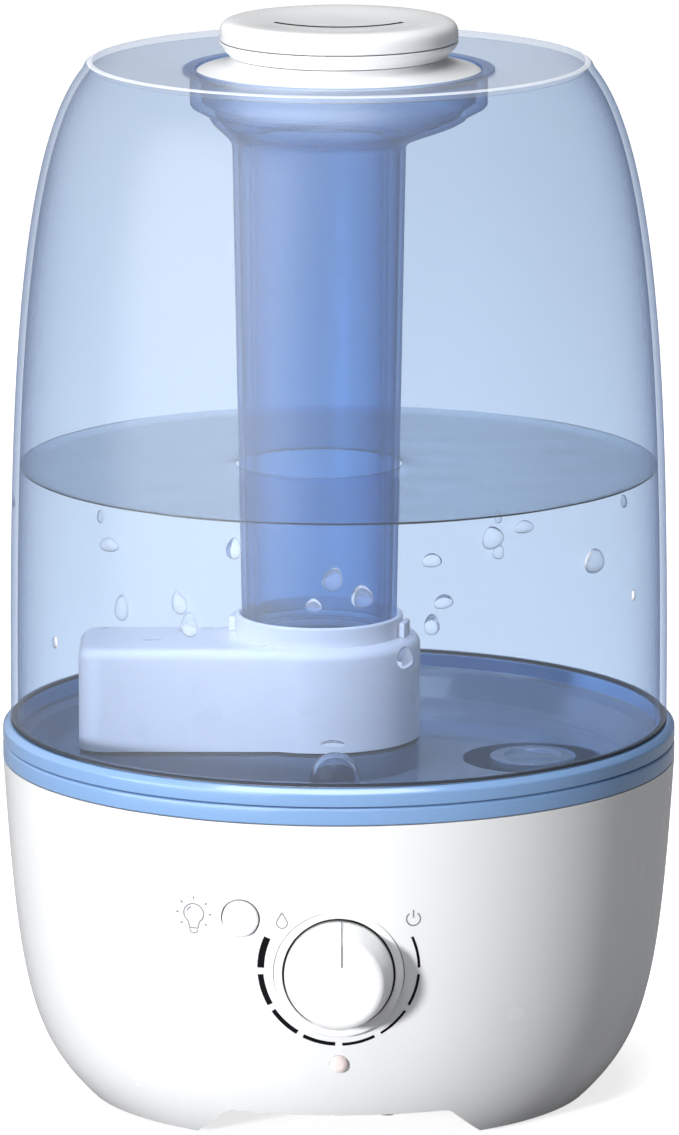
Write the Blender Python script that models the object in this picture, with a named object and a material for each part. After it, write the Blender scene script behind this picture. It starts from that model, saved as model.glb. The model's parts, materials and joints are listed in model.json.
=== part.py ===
"""Cool mist humidifier: a white base with a fan, a transducer and its controls, and a clear blue water tank.

Frame: the origin is on the ground under the middle of the whole object, +Z is up and the controls
face -Y. The knob stands out in front, so the centre line of the base and the tank is AXIS_Y behind the
origin, and every place below is measured from that centre line. Sizes are in millimetres, and MM turns
them into metres. A piece that points forward is turned about its own Z axis and then tipped, so its
heights are distances in front of the centre line.
"""

import math

import bmesh
import bpy
import numpy as np
from mathutils import Matrix, Vector
from mathutils.geometry import interpolate_bezier

MM = 0.001
GAP = 0.3  # clearance between neighbouring pieces
AXIS_Y = 5.1  # half of what the knob stands out in front of the base

LARGE_STEPS = 48
MEDIUM_STEPS = 28
SMALL_STEPS = 16
TINY_STEPS = 8

# Base shell
COLLAR_R = 95.0
BASE_TOP_Z = 96.0
BASE_BOTTOM_Z = 1.1
BASE_BOTTOM_R = 71.5
BASE_WALL = 2.6
LEDGE_R = 61.0
LEDGE_Z = 11.9
LEDGE_THICK = 2.0
ARCH_TOP_Z = 10.6
ARCH_TOP_HALF = 29.6
ARCH_BOTTOM_HALF = 40.0

# Bottom cover
COVER_R = 68.2
COVER_Z = 9.0
COVER_THICK = 2.6
FOOT_ANGLES = (40, 140, 220, 320)
FOOT_AT_R = 58.0
SCREW_ANGLES = (12, 102, 192, 282)
SCREW_AT_R = 64.8
INTAKE_R = 17.0

# Controls on the front
KNOB_Z = 53.7
BEZEL_R = 17.9
BEZEL_FACE = 91.6
BEZEL_RECESS_R = 15.6
KNOB_R = 15.0
KNOB_FACE_R = 12.5
KNOB_FACE = 105.2
BUTTON_X = -27.0
BUTTON_Z = 69.0
BUTTON_R = 5.0
LENS_Z = 27.3
LENS_R = 2.5
BOARD_FACE = 72.0
BOARD_THICK = 1.6
DRIVER_BOARD_Z = 20.0
POT_BUSH_R = 4.2
POT_BUSH_END = 92.4
SHAFT_R = 2.9

# Socket at the back
JACK_Z = 30.0
JACK_R = 5.5
JACK_BORE_R = 3.2
JACK_FACE = 89.2

# Water tray
TRAY_FLOOR_Z = 78.0
TRAY_THICK = 2.0
TRAY_RIM_Z = 101.1

# Mist duct: a keyhole outline, a round end with a box to its left
DUCT_X = -5.5
DUCT_R = 28.6
DUCT_FRONT_Y = -26.2
DUCT_BACK_Y = 9.6
DUCT_LEFT_X = -73.0
DUCT_CORNER_R = 7.0
HOUSING_Z = 101.8
HOUSING_TOP_Z = 130.8
COLLAR_TOP_Z = 136.5
CHIMNEY_X = -50.0
CHIMNEY_Y = -8.2
FAN_X = -40.0
FAN_Z = 15.0
FAN_SIDE = 40.0
FAN_THICK = 10.0

# Tank
TANK_FLOOR_Z = 93.5
TANK_FLOOR_THICK = 1.9
TANK_FLOOR_R = 81.8
SKIRT_Z = 101.4
RIM_Z = 106.3
SHELL_BOTTOM_Z = 107.5
TANK_R = 92.7
TANK_TOP_Z = 293.8
TANK_TOP_R = 68.9
TANK_WALL = 2.0
TANK_MOUTH_R = 42.2
MOUTH_Z = 291.6
MOUTH_RING_R = 49.7
LIP_R = 43.6
LIP_THICK = 0.9
DOME_X = -1.0
DOME_Y = -56.0
VALVE_X = 55.0
VALVE_Y = 4.0
WELL_R = 20.0
WELL_FLOOR_Z = 84.0
VALVE_CAP_R = 12.3
STEM_BOTTOM_Z = 80.3
VALVE_CAP_TOP_Z = 94.5

# Mist tube and funnel
FUNNEL_R = 41.6
FUNNEL_WALL = 1.4
FUNNEL_LEDGE_R = 38.4
FUNNEL_STEP_Z = 281.4
TUBE_TOP_Z = 269.5
TUBE_BOTTOM_Z = 133.0

# Nozzle
LID_R = 39.4
LID_EDGE_Z = 291.3
LID_UNDER_Z = 289.4
NOZZLE_SEAM_Z = 299.5
NOZZLE_R = 33.4
NOZZLE_TOP_Z = 305.3
NOZZLE_MOUTH_R = 18.4
SLOT_FRONT_R = 30.0
SLOT_FRONT_Y = -9.4
SLOT_WIDTH = 2.2
SCOOP_TILT = 5.0
HUB_R = 20.4
HUB_BORE_R = 18.6


def material(name, colour, roughness, metallic=0.0, transmission=0.0):
    """A Principled material."""
    made = bpy.data.materials.new(name)
    made.use_nodes = True
    shader = made.node_tree.nodes["Principled BSDF"]
    shader.inputs["Base Color"].default_value = (*colour, 1.0)
    shader.inputs["Roughness"].default_value = roughness
    shader.inputs["Metallic"].default_value = metallic
    shader.inputs["Transmission Weight"].default_value = transmission
    made.diffuse_color = (*colour, 1.0)
    return made


def finished(name, shape, look, location=(0.0, 0.0, 0.0)):
    """Turns a bmesh into an object placed in millimetres, with its faces pointing out."""
    bmesh.ops.recalc_face_normals(shape, faces=shape.faces)
    mesh = bpy.data.meshes.new(name)
    shape.to_mesh(mesh)
    shape.free()
    mesh.shade_smooth()
    mesh.set_sharp_from_angle(angle=math.radians(35))
    mesh.materials.append(look)
    made = bpy.data.objects.new(name, mesh)
    made.location = Vector(location) * MM
    bpy.context.scene.collection.objects.link(made)
    return made


def turned_shape(outline, steps):
    """A closed outline of (radius, height) points spun about Z. Edges on the axis are left out."""
    shape = bmesh.new()
    points = [shape.verts.new((radius * MM, 0.0, height * MM)) for radius, height in outline]
    pairs = zip(points, points[1:] + points[:1])
    edges = [shape.edges.new(pair) for pair in pairs if pair[0].co.x + pair[1].co.x > 0]
    bmesh.ops.spin(
        shape,
        geom=points + edges,
        cent=(0, 0, 0),
        axis=(0, 0, 1),
        angle=math.tau,
        steps=steps,
        use_merge=True,
    )
    bmesh.ops.remove_doubles(shape, verts=shape.verts, dist=1e-7)
    return shape


def turned(name, outline, look, centre=(0.0, 0.0), steps=MEDIUM_STEPS):
    """A turned piece that stands upright at centre."""
    return finished(name, turned_shape(outline, steps), look, (*centre, 0.0))


def facing(piece, towards):
    """Tips an upright piece so that its +Z points along towards x world Y, -1 for the front."""
    piece.rotation_euler = (math.radians(-90 * towards), 0, 0)
    return piece


def prism(name, outline, bottom, top, look, centre=(0.0, 0.0)):
    """A flat outline of (x, y) points, extruded from bottom to top."""
    shape = bmesh.new()
    base = shape.faces.new([shape.verts.new((x * MM, y * MM, bottom * MM)) for x, y in outline])
    raised = bmesh.ops.extrude_face_region(shape, geom=[base])["geom"]
    moved = [item for item in raised if isinstance(item, bmesh.types.BMVert)]
    bmesh.ops.translate(shape, verts=moved, vec=(0, 0, (top - bottom) * MM))
    return finished(name, shape, look, (*centre, 0.0))


def block(name, low, high, look):
    """A box between two corners."""
    outline = [(low[0], low[1]), (high[0], low[1]), (high[0], high[1]), (low[0], high[1])]
    return prism(name, outline, low[2], high[2], look)


def cylinders(name, places, look, steps=TINY_STEPS):
    """Separate upright cylinders in one object. Each place is (x, y, radius, bottom, top)."""
    shape = bmesh.new()
    for x, y, radius, bottom, top in places:
        bmesh.ops.create_cone(
            shape,
            cap_ends=True,
            segments=steps,
            radius1=radius * MM,
            radius2=radius * MM,
            depth=(top - bottom) * MM,
            matrix=Matrix.Translation(Vector((x, y, (top + bottom) / 2)) * MM),
        )
    return finished(name, shape, look)


def lofted(name, rings, look, steps=MEDIUM_STEPS):
    """A tube wall through rings of (x, y, height, radius), its last ring joined back to its first."""
    shape = bmesh.new()
    loops = []
    for x, y, height, radius in rings:
        angles = [math.tau * step / steps for step in range(steps)]
        places = [(x + radius * math.cos(a), y + radius * math.sin(a), height) for a in angles]
        loops.append([shape.verts.new(Vector(place) * MM) for place in places])
    for near, far in zip(loops, loops[1:] + loops[:1]):
        for step in range(steps):
            after = (step + 1) % steps
            shape.faces.new((near[step], near[after], far[after], far[step]))
    return finished(name, shape, look)


def combine(piece, other, operation):
    """A Boolean with the exact solver. The other piece becomes a hidden helper."""
    change = piece.modifiers.new(other.name, "BOOLEAN")
    change.operation = operation
    change.solver = "EXACT"
    change.object = other
    other.hide_render = True
    other.display_type = "WIRE"


def cut(piece, other):
    combine(piece, other, "DIFFERENCE")


def join(piece, other):
    combine(piece, other, "UNION")


def round_the_top(piece, height, radius, segments):
    """Rounds the edges of a prism's top face, before any Boolean."""
    shape = bmesh.new()
    shape.from_mesh(piece.data)
    top = [
        edge
        for edge in shape.edges
        if all(abs(vert.co.z - height * MM) < 1e-6 for vert in edge.verts)
    ]
    bmesh.ops.bevel(shape, geom=top, offset=radius * MM, segments=segments, profile=0.5, affect="EDGES")
    shape.to_mesh(piece.data)
    shape.free()
    piece.data.shade_smooth()
    piece.data.set_sharp_from_angle(angle=math.radians(35))


def curve(start, start_handle, end_handle, end, points):
    """(radius, height) points along a cubic curve, both ends included."""
    ends = (start, start_handle, end_handle, end)
    spline = interpolate_bezier(*[Vector((*end, 0.0)) for end in ends], points)
    return [(point.x, point.y) for point in spline]


def offset(outline, distance):
    """The outline moved to its right, which is inwards when it runs down an outer side."""
    moved = []
    for index, (radius, height) in enumerate(outline):
        before = outline[max(index - 1, 0)]
        after = outline[min(index + 1, len(outline) - 1)]
        along = Vector((after[0] - before[0], after[1] - before[1])).normalized()
        moved.append((radius + along.y * distance, height - along.x * distance))
    return moved


def arc(centre, radius, start, end, steps):
    """Points on an arc, with its angles in degrees and both ends included."""
    points = []
    for step in range(steps + 1):
        angle = math.radians(start + (end - start) * step / steps)
        points.append((centre[0] + radius * math.cos(angle), centre[1] + radius * math.sin(angle)))
    return points


def keyhole(inset):
    """The mist duct's outline seen from above, moved inwards by inset."""
    radius = DUCT_R - inset
    front = DUCT_FRONT_Y + inset
    back = DUCT_BACK_Y - inset
    left = DUCT_LEFT_X + inset
    corner = DUCT_CORNER_R - inset
    first = -180 + math.degrees(math.asin(-front / radius))
    last = 180 - math.degrees(math.asin(back / radius))
    outline = arc((DUCT_X, 0), radius, first, last, 20)
    outline += arc((left + corner, back - corner), corner, 90, 180, 3)
    outline += arc((left + corner, front + corner), corner, 180, 270, 3)
    return outline


def around(radius, degrees):
    """A point at this angle from +X, seen from above."""
    return radius * math.cos(math.radians(degrees)), radius * math.sin(math.radians(degrees))


def base_outer():
    """The base's outer side, from its top to its bottom rim."""
    top = (COLLAR_R, BASE_TOP_Z)
    bottom = (BASE_BOTTOM_R, BASE_BOTTOM_Z)
    return curve(top, (91.1, 30.9), (87.7, 17.0), bottom, 8)


def base_radius(height):
    """The base's outer radius at this height."""
    side = list(reversed(base_outer()))
    return float(np.interp(height, [z for _, z in side], [r for r, _ in side]))


def build_base_shell(look):
    inner = [(base_radius(z) - BASE_WALL, z) for z in (BASE_BOTTOM_Z, 6.0, LEDGE_Z)]
    inner += [(LEDGE_R, LEDGE_Z), (LEDGE_R, LEDGE_Z + LEDGE_THICK)]
    inner += [
        (base_radius(z) - BASE_WALL, z) for z in (LEDGE_Z + LEDGE_THICK, 22.0, 36.0, 60.0, BASE_TOP_Z)
    ]
    shell = turned("base_shell", base_outer() + inner, look, steps=LARGE_STEPS)

    arch = [
        (-ARCH_BOTTOM_HALF, -0.5),
        (ARCH_BOTTOM_HALF, -0.5),
        (ARCH_TOP_HALF + 2.0, ARCH_TOP_Z - 1.0),
        (ARCH_TOP_HALF, ARCH_TOP_Z),
        (-ARCH_TOP_HALF, ARCH_TOP_Z),
        (-ARCH_TOP_HALF - 2.0, ARCH_TOP_Z - 1.0),
    ]
    # The arch runs from front to back, so one cutter opens both sides of the rim.
    arches = prism("arch_cutter", arch, -100.0, 100.0, look)
    arches.rotation_euler = (math.radians(90), 0, 0)
    cut(shell, arches)

    openings = [
        ("bezel_cutter", 0.0, KNOB_Z, BEZEL_R + GAP, -1, MEDIUM_STEPS),
        ("button_cutter", BUTTON_X, BUTTON_Z, BUTTON_R + GAP, -1, SMALL_STEPS),
        ("lens_cutter", 0.0, LENS_Z, LENS_R + GAP, -1, TINY_STEPS),
        ("jack_cutter", 0.0, JACK_Z, JACK_R + GAP, 1, SMALL_STEPS),
    ]
    for name, x, z, radius, towards, steps in openings:
        bore = turned(name, [(0, 70), (radius, 70), (radius, 110), (0, 110)], look, steps=steps)
        bore.location = Vector((x, 0, z)) * MM
        cut(shell, facing(bore, towards))

    holes = [(*around(SCREW_AT_R, angle), 1.6, LEDGE_Z - 1, LEDGE_Z + 4) for angle in SCREW_ANGLES]
    cut(shell, cylinders("ledge_hole_cutter", holes, look))


def build_bottom_cover(look):
    top = COVER_Z + COVER_THICK
    cover = turned("bottom_cover", [(0, COVER_Z), (COVER_R, COVER_Z), (COVER_R, top), (0, top)], look)
    inside = COVER_Z + 1.0
    fan_pegs = [
        (FAN_X + dx, dy, 2.0, inside, FAN_Z - GAP) for dx in (-16.5, 16.5) for dy in (-16.5, 16.5)
    ]
    under_board = DRIVER_BOARD_Z - GAP
    board_pegs = [(x, y, 2.5, inside, under_board) for x, y in ((18, 0), (18, 35), (50, 0), (44, 35))]
    join(cover, cylinders("cover_pegs", fan_pegs + board_pegs, look))
    holes = [(*around(SCREW_AT_R, angle), 1.7, 5.0, 15.0) for angle in SCREW_ANGLES]
    cut(cover, cylinders("cover_hole_cutter", holes, look))
    cut(cover, cylinders("intake_cutter", [(FAN_X, 0, INTAKE_R, 5.0, 15.0)], look, steps=SMALL_STEPS))


def build_feet(look):
    outline = [(0, 0), (5.6, 0), (6.2, 0.6), (7.0, COVER_Z - GAP), (0, COVER_Z - GAP)]
    for number, angle in enumerate(FOOT_ANGLES, 1):
        turned(f"rubber_foot_{number}", outline, look, around(FOOT_AT_R, angle), SMALL_STEPS)


def build_cover_screws(look):
    head = COVER_Z - GAP
    outline = [(0, head - 1.8), (2.2, head - 1.8), (2.9, head - 1.1), (2.9, head), (1.3, head), (1.3, 16.5)]
    outline += [(0, 17.5)]
    for number, angle in enumerate(SCREW_ANGLES, 1):
        turned(f"cover_screw_{number}", outline, look, around(SCREW_AT_R, angle), TINY_STEPS)


def build_intake(filter_look, cover_look):
    turned(
        "air_filter",
        [(0, COVER_Z), (INTAKE_R - 0.5, COVER_Z), (INTAKE_R - 0.5, 11.4), (0, 11.4)],
        filter_look,
        (FAN_X, 0),
        SMALL_STEPS,
    )
    top = COVER_Z - GAP
    outline = [(0, top - 2.0), (19.0, top - 2.0), (19.6, top - 1.4), (19.6, top), (0, top)]
    grille = turned("filter_cover", outline, cover_look, (FAN_X, 0), SMALL_STEPS)
    slots = [(x, 14.5 - abs(x) * 0.35) for x in (-12, -6, 0, 6, 12)]
    for number, (x, half) in enumerate(slots, 1):
        low, high = (FAN_X + x - 1.5, -half, 0.0), (FAN_X + x + 1.5, half, 12.0)
        cut(grille, block(f"slot_cutter_{number}", low, high, cover_look))


def build_fan(frame_look, blade_look, shaft_look):
    side = FAN_SIDE / 2
    corners = []
    for start, (x, y) in zip((0, 90, 180, 270), ((1, 1), (-1, 1), (-1, -1), (1, -1))):
        corners += arc((x * (side - 3), y * (side - 3)), 3, start, start + 90, 2)
    frame = prism("fan_frame", corners, FAN_Z, FAN_Z + FAN_THICK, frame_look, (FAN_X, 0))
    cut(frame, cylinders("fan_bore_cutter", [(FAN_X, 0, 18.4, 0, 40)], frame_look, SMALL_STEPS))
    spokes = cylinders("fan_hub", [(FAN_X, 0, 8.0, FAN_Z, FAN_Z + 1.8)], frame_look, SMALL_STEPS)
    join(frame, spokes)
    for number, angle in enumerate((90, 210, 330), 1):
        bar = block(f"fan_spoke_{number}", (5, -1.2, FAN_Z + 0.1), (19, 1.2, FAN_Z + 1.6), frame_look)
        bar.location = Vector((FAN_X, 0, 0)) * MM
        bar.rotation_euler = (0, 0, math.radians(angle))
        join(frame, bar)
    cut(frame, cylinders("fan_bearing_cutter", [(FAN_X, 0, 1.5, FAN_Z + 0.6, 20)], frame_look))

    hub = [(0, 24.2), (1.5, 24.2), (9.0, 24.2), (9.6, 23.6), (9.6, 17.4)]
    hub += [(1.6, 17.4), (1.6, 22.6), (0, 22.6)]
    impeller = turned("fan_impeller", hub, blade_look, (FAN_X, 0), SMALL_STEPS)
    blades = bmesh.new()
    for number in range(7):
        turn = Matrix.Rotation(math.tau * number / 7, 4, "Z")
        tilt = Matrix.Rotation(math.radians(38), 4, "X")
        place = Matrix.Translation(Vector((13.0, 0, 20.8)) * MM)
        size = Matrix.Diagonal(Vector((8.6, 8.0, 1.1)) * MM).to_4x4()
        bmesh.ops.create_cube(blades, size=1.0, matrix=turn @ place @ tilt @ size)
    join(impeller, finished("fan_blades", blades, blade_look, (FAN_X, 0, 0)))
    turned("fan_shaft", [(0, 15.9), (1.2, 15.9), (1.2, 22.3), (0, 22.3)], shaft_look, (FAN_X, 0), TINY_STEPS)


def build_air_duct(look):
    low, high = FAN_Z + FAN_THICK + GAP, TRAY_FLOOR_Z - TRAY_THICK - GAP
    rings = [(FAN_X, 0, low, 19.0), (FAN_X, 0, low + 6, 19.0), (CHIMNEY_X, CHIMNEY_Y, high - 20, 12.0)]
    rings += [(CHIMNEY_X, CHIMNEY_Y, high, 12.0), (CHIMNEY_X, CHIMNEY_Y, high, 10.5)]
    rings += [(CHIMNEY_X, CHIMNEY_Y, high - 20, 10.5), (FAN_X, 0, low + 6, 17.5), (FAN_X, 0, low, 17.5)]
    lofted("air_duct", rings, look, SMALL_STEPS)


def build_water_tray(look):
    under = TRAY_FLOOR_Z - TRAY_THICK
    floor = TRAY_FLOOR_Z
    outline = [(0, floor), (84.0, floor), (86.8, floor + 1.6), (88.4, floor + 6.0), (88.6, 95.0)]
    outline += [(92.4, 99.0), (92.4, TRAY_RIM_Z), (COLLAR_R, TRAY_RIM_Z), (COLLAR_R, BASE_TOP_Z + GAP)]
    outline += [(90.6, BASE_TOP_Z + GAP), (90.3, floor + 5.5), (87.8, floor - 0.2)]
    outline += [(84.6, under), (0, under)]
    tray = turned("water_tray", outline, look, steps=LARGE_STEPS)
    chimney = (CHIMNEY_X, CHIMNEY_Y, 11.0, under + 0.5, 97.0)
    join(tray, cylinders("chimney", [chimney], look, SMALL_STEPS))
    valve_post = (VALVE_X, VALVE_Y, 3.0, under + 0.5, STEM_BOTTOM_Z - GAP)
    float_post = (DOME_X, DOME_Y, 2.9, under + 0.5, 90.0)
    join(tray, cylinders("tray_posts", [valve_post, float_post], look))
    bores = [(CHIMNEY_X, CHIMNEY_Y, 9.5, 60.0, 110.0), (DUCT_X, 0, 8.6, 60.0, 110.0)]
    cut(tray, cylinders("tray_bore_cutter", bores, look, SMALL_STEPS))


def build_transducer(disc_look, seal_look, clamp_look, guide_look):
    under = TRAY_FLOOR_Z - TRAY_THICK - GAP
    place = (DUCT_X, 0)
    seal = [(8.0, under - 1.3), (12.4, under - 1.3), (12.4, under), (8.0, under)]
    turned("transducer_seal", seal, seal_look, place, SMALL_STEPS)
    disc = [(0, under - 2.7), (10.0, under - 2.7), (10.0, under - 1.6), (0, under - 1.6)]
    turned("transducer_disc", disc, disc_look, place, SMALL_STEPS)
    clamp = [(0, under - 7.7), (15.0, under - 7.7), (15.0, under), (13.0, under), (13.0, under - 3.0)]
    clamp += [(0, under - 3.0)]
    turned("transducer_clamp", clamp, clamp_look, place, SMALL_STEPS)
    low = TRAY_FLOOR_Z + GAP
    guide = [(15.4, low), (18.4, low), (18.4, low + 1.4), (17.0, low + 1.4), (17.0, 92.0), (15.4, 92.0)]
    collar = turned("mist_guide", guide, guide_look, place, SMALL_STEPS)
    cut(collar, block("guide_slot_cutter", (5.0, -3.0, low - 1.0), (20.0, 3.0, low + 5.0), guide_look))


def build_float(float_look, switch_look):
    low, high = TRAY_FLOOR_Z + 0.4, TRAY_FLOOR_Z + 7.0
    outline = [(3.4, low), (8.4, low), (9.0, low + 0.6), (9.0, high - 0.6), (8.4, high), (3.4, high)]
    turned("water_float", outline, float_look, (DOME_X, DOME_Y), SMALL_STEPS)
    under = TRAY_FLOOR_Z - TRAY_THICK - GAP
    near, far = (DOME_X - 5, DOME_Y - 2.5, under - 6), (DOME_X + 5, DOME_Y + 2.5, under)
    block("reed_switch", near, far, switch_look)


def build_electronics(board_look, metal_look, part_look, coil_look):
    top = DRIVER_BOARD_Z + BOARD_THICK
    block("driver_board", (14, -4, DRIVER_BOARD_Z), (56, 39, top), board_look)
    on_board = top + GAP
    for number, (x, y, radius, height) in enumerate(((22, 8, 5.0, 16.0), (22, 24, 4.0, 12.0)), 1):
        end = on_board + height
        can = [(0, on_board), (radius, on_board), (radius, end - 0.6), (radius - 0.6, end), (0, end)]
        turned(f"capacitor_{number}", can, part_look, (x, y), SMALL_STEPS)
    ring = [(3.6, on_board), (7.6, on_board), (7.6, on_board + 5), (3.6, on_board + 5)]
    turned("choke_coil", ring, coil_look, (38, 9), SMALL_STEPS)
    fins = [(30, 22), (52, 22)]
    for x in (52, 47.2, 42.4, 37.6, 32.8):
        fins += [(x, 36), (x - 1.6, 36), (x - 1.6, 25), (x - 4.8, 25)]
    fins = fins[:-1] + [(30, 25)]
    prism("heat_sink", fins, on_board, on_board + 18, metal_look)


def build_controls(board_look, part_look, metal_look, lens_look):
    block("control_board", (-36, -BOARD_FACE, 22), (20, BOARD_THICK - BOARD_FACE, 71), board_look)
    near = BOARD_FACE + GAP
    bore = SHAFT_R + 0.4
    pot = [(0, near), (8.0, near), (8.0, 79.5), (POT_BUSH_R, 79.5), (POT_BUSH_R, POT_BUSH_END)]
    pot += [(bore, POT_BUSH_END), (bore, 80.0), (0, 80.0)]
    body = turned("potentiometer", pot, part_look, steps=SMALL_STEPS)
    body.location.z = KNOB_Z * MM
    facing(body, -1)
    nut = turned("bushing_nut", [(5.2, 89.9), (6.9, 89.9), (6.9, 92.0), (5.2, 92.0)], metal_look, steps=6)
    nut.location.z = KNOB_Z * MM
    facing(nut, -1)
    half = 3.0
    low = (BUTTON_X - half, -76.5, BUTTON_Z - 5.0)
    block("light_switch", low, (BUTTON_X + half, -near, BUTTON_Z + 1.0), part_look)
    led = [(0, near), (2.4, near), (2.4, 77.6), (1.6, 79.0), (0, 79.4)]
    status = turned("status_led", led, lens_look, steps=TINY_STEPS)
    status.location.z = LENS_Z * MM
    facing(status, -1)
    lens = [(0, 80.5), (LENS_R, 80.5), (LENS_R, 87.4), (1.9, 88.2), (1.0, 88.7), (0, 88.9)]
    window = turned("indicator_lens", lens, lens_look, steps=TINY_STEPS)
    window.location.z = LENS_Z * MM
    facing(window, -1)


def build_knob(knob_look, shaft_look, bezel_look):
    bezel = [(4.6, 86.2), (BEZEL_R, 86.2), (BEZEL_R, BEZEL_FACE - 0.8), (BEZEL_R - 0.8, BEZEL_FACE)]
    bezel += [(BEZEL_RECESS_R, BEZEL_FACE), (BEZEL_RECESS_R, 89.6), (4.6, 89.6)]
    ring = turned("knob_bezel", bezel, bezel_look, steps=MEDIUM_STEPS)
    outline = [(7.5, 90.0), (KNOB_R, 90.0), (KNOB_R - 0.1, 94.0), (13.5, 102.4), (KNOB_FACE_R, 104.4)]
    bore, shaft_end = SHAFT_R + 0.4, 101.1
    outline += [(10.8, KNOB_FACE), (0, KNOB_FACE), (0, shaft_end + 0.4), (bore, shaft_end + 0.4)]
    outline += [(bore, POT_BUSH_END + 1.0), (7.5, POT_BUSH_END + 1.0)]
    knob = turned("mist_knob", outline, knob_look, steps=MEDIUM_STEPS)
    rod = [(0, 80.4), (SHAFT_R, 80.4), (SHAFT_R, shaft_end), (0, shaft_end)]
    shaft = turned("knob_shaft", rod, shaft_look, steps=TINY_STEPS)
    for piece in (ring, knob, shaft):
        piece.location.z = KNOB_Z * MM
        facing(piece, -1)


def build_light_button(look):
    outline = [(0, 78.0), (2.0, 78.0), (2.0, 82.0), (6.2, 82.0), (6.2, 83.4), (BUTTON_R, 83.4)]
    outline += [(BUTTON_R, 90.6), (BUTTON_R - 0.7, 91.3), (3.0, 91.7), (0, 91.9)]
    button = turned("light_button", outline, look, steps=SMALL_STEPS)
    button.location = Vector((BUTTON_X, 0, BUTTON_Z)) * MM
    facing(button, -1)


def build_night_light(board_look, lens_look):
    block("night_light_board", (22, -36, 63.0), (38, -24, 64.2), board_look)
    outline = [(0, 64.5), (2.5, 64.5), (2.5, 69.0), (1.7, 70.6), (0, 71.2)]
    turned("night_light_led", outline, lens_look, (30, -30), TINY_STEPS)


def build_power_jack(look):
    outline = [(0, 66.0), (8.0, 66.0), (8.0, 80.5), (JACK_R, 80.5), (JACK_R, JACK_FACE)]
    outline += [(JACK_BORE_R, JACK_FACE), (JACK_BORE_R, 76.0), (0, 76.0)]
    jack = turned("power_jack", outline, look, steps=SMALL_STEPS)
    jack.location.z = JACK_Z * MM
    facing(jack, 1)


def dish_z(radius):
    """The height of the tank's top, which is dished: it falls from its rim to the funnel's mouth."""
    share = (radius - LIP_R) / (TANK_TOP_R - LIP_R)
    return MOUTH_Z + (TANK_TOP_Z - MOUTH_Z) * share


def tank_outer():
    """The tank's outer side, from its mouth ring over the shoulder and down to its bottom edge."""
    shoulder = arc((TANK_TOP_R, TANK_TOP_Z - 2.6), 2.6, 90, 40, 2)
    wall = curve((71.9, 290.9), (89.8, 269.0), (92.9, 197.5), (TANK_R, SHELL_BOTTOM_Z), 7)
    return [(MOUTH_RING_R + GAP, dish_z(MOUTH_RING_R + GAP))] + shoulder + wall


def build_tank_shell(look):
    outer = tank_outer()
    inner = list(reversed(offset(outer, TANK_WALL)))
    inner[0] = (TANK_R - TANK_WALL, SHELL_BOTTOM_Z)
    turned("tank_shell", outer + inner, look, steps=LARGE_STEPS)


def build_tank_mouth(look):
    """The ring welded into the tank's top, with a recess round its hole for the funnel's lip."""
    side, recess_r, recess = dish_z(MOUTH_RING_R), LIP_R + 0.4, MOUTH_Z - LIP_THICK - GAP
    outline = [(recess_r, dish_z(recess_r)), (MOUTH_RING_R, side), (MOUTH_RING_R, side - TANK_WALL)]
    outline += [(TANK_MOUTH_R, MOUTH_Z - TANK_WALL), (TANK_MOUTH_R, recess), (recess_r, recess)]
    turned("tank_mouth", outline, look, steps=MEDIUM_STEPS)


def build_tank_floor(look):
    under = TANK_FLOOR_Z - TANK_FLOOR_THICK
    outline = [(0, TANK_FLOOR_Z), (TANK_FLOOR_R, TANK_FLOOR_Z), (83.6, 94.3), (87.8, 100.2), (89.0, 101.0)]
    outline += [(90.3, 101.5), (90.8, 102.6), (90.8, RIM_Z), (93.4, RIM_Z), (94.6, 105.8), (COLLAR_R, 104.8)]
    outline += [(COLLAR_R, SKIRT_Z), (91.2, SKIRT_Z), (89.6, 99.4), (85.6, 92.8), (84.2, under), (0, under)]
    floor = turned("tank_floor", outline, look, steps=LARGE_STEPS)
    well = (VALVE_X, VALVE_Y, WELL_R + 2.0, WELL_FLOOR_Z - 2.2, TANK_FLOOR_Z - 0.4)
    join(floor, cylinders("valve_well", [well], look, SMALL_STEPS))
    join(floor, prism("duct_island", keyhole(0), TANK_FLOOR_Z - 1.4, HOUSING_Z - 1.2, look))
    cut(floor, prism("duct_cutter", keyhole(2.2), 80.0, 110.0, look))
    hollow = (VALVE_X, VALVE_Y, WELL_R, WELL_FLOOR_Z, 99.0)
    cut(floor, cylinders("well_cutter", [hollow], look, SMALL_STEPS))
    holes = [(VALVE_X, VALVE_Y, 6.0, 70.0, 86.0), (DOME_X, DOME_Y, 5.4, 85.0, 99.0)]
    cut(floor, cylinders("floor_hole_cutter", holes, look))


def build_float_dome(look):
    low = TANK_FLOOR_Z + GAP
    outer = [(0, 108.2), (2.6, 107.8), (5.0, 106.0), (6.6, 103.0), (7.4, 98.0), (7.8, low)]
    inner = [(6.4, low), (6.0, 98.0), (5.3, 102.2), (3.8, 105.0), (1.8, 106.4), (0, 106.6)]
    turned("float_dome", outer + inner, look, (DOME_X, DOME_Y), SMALL_STEPS)


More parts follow.
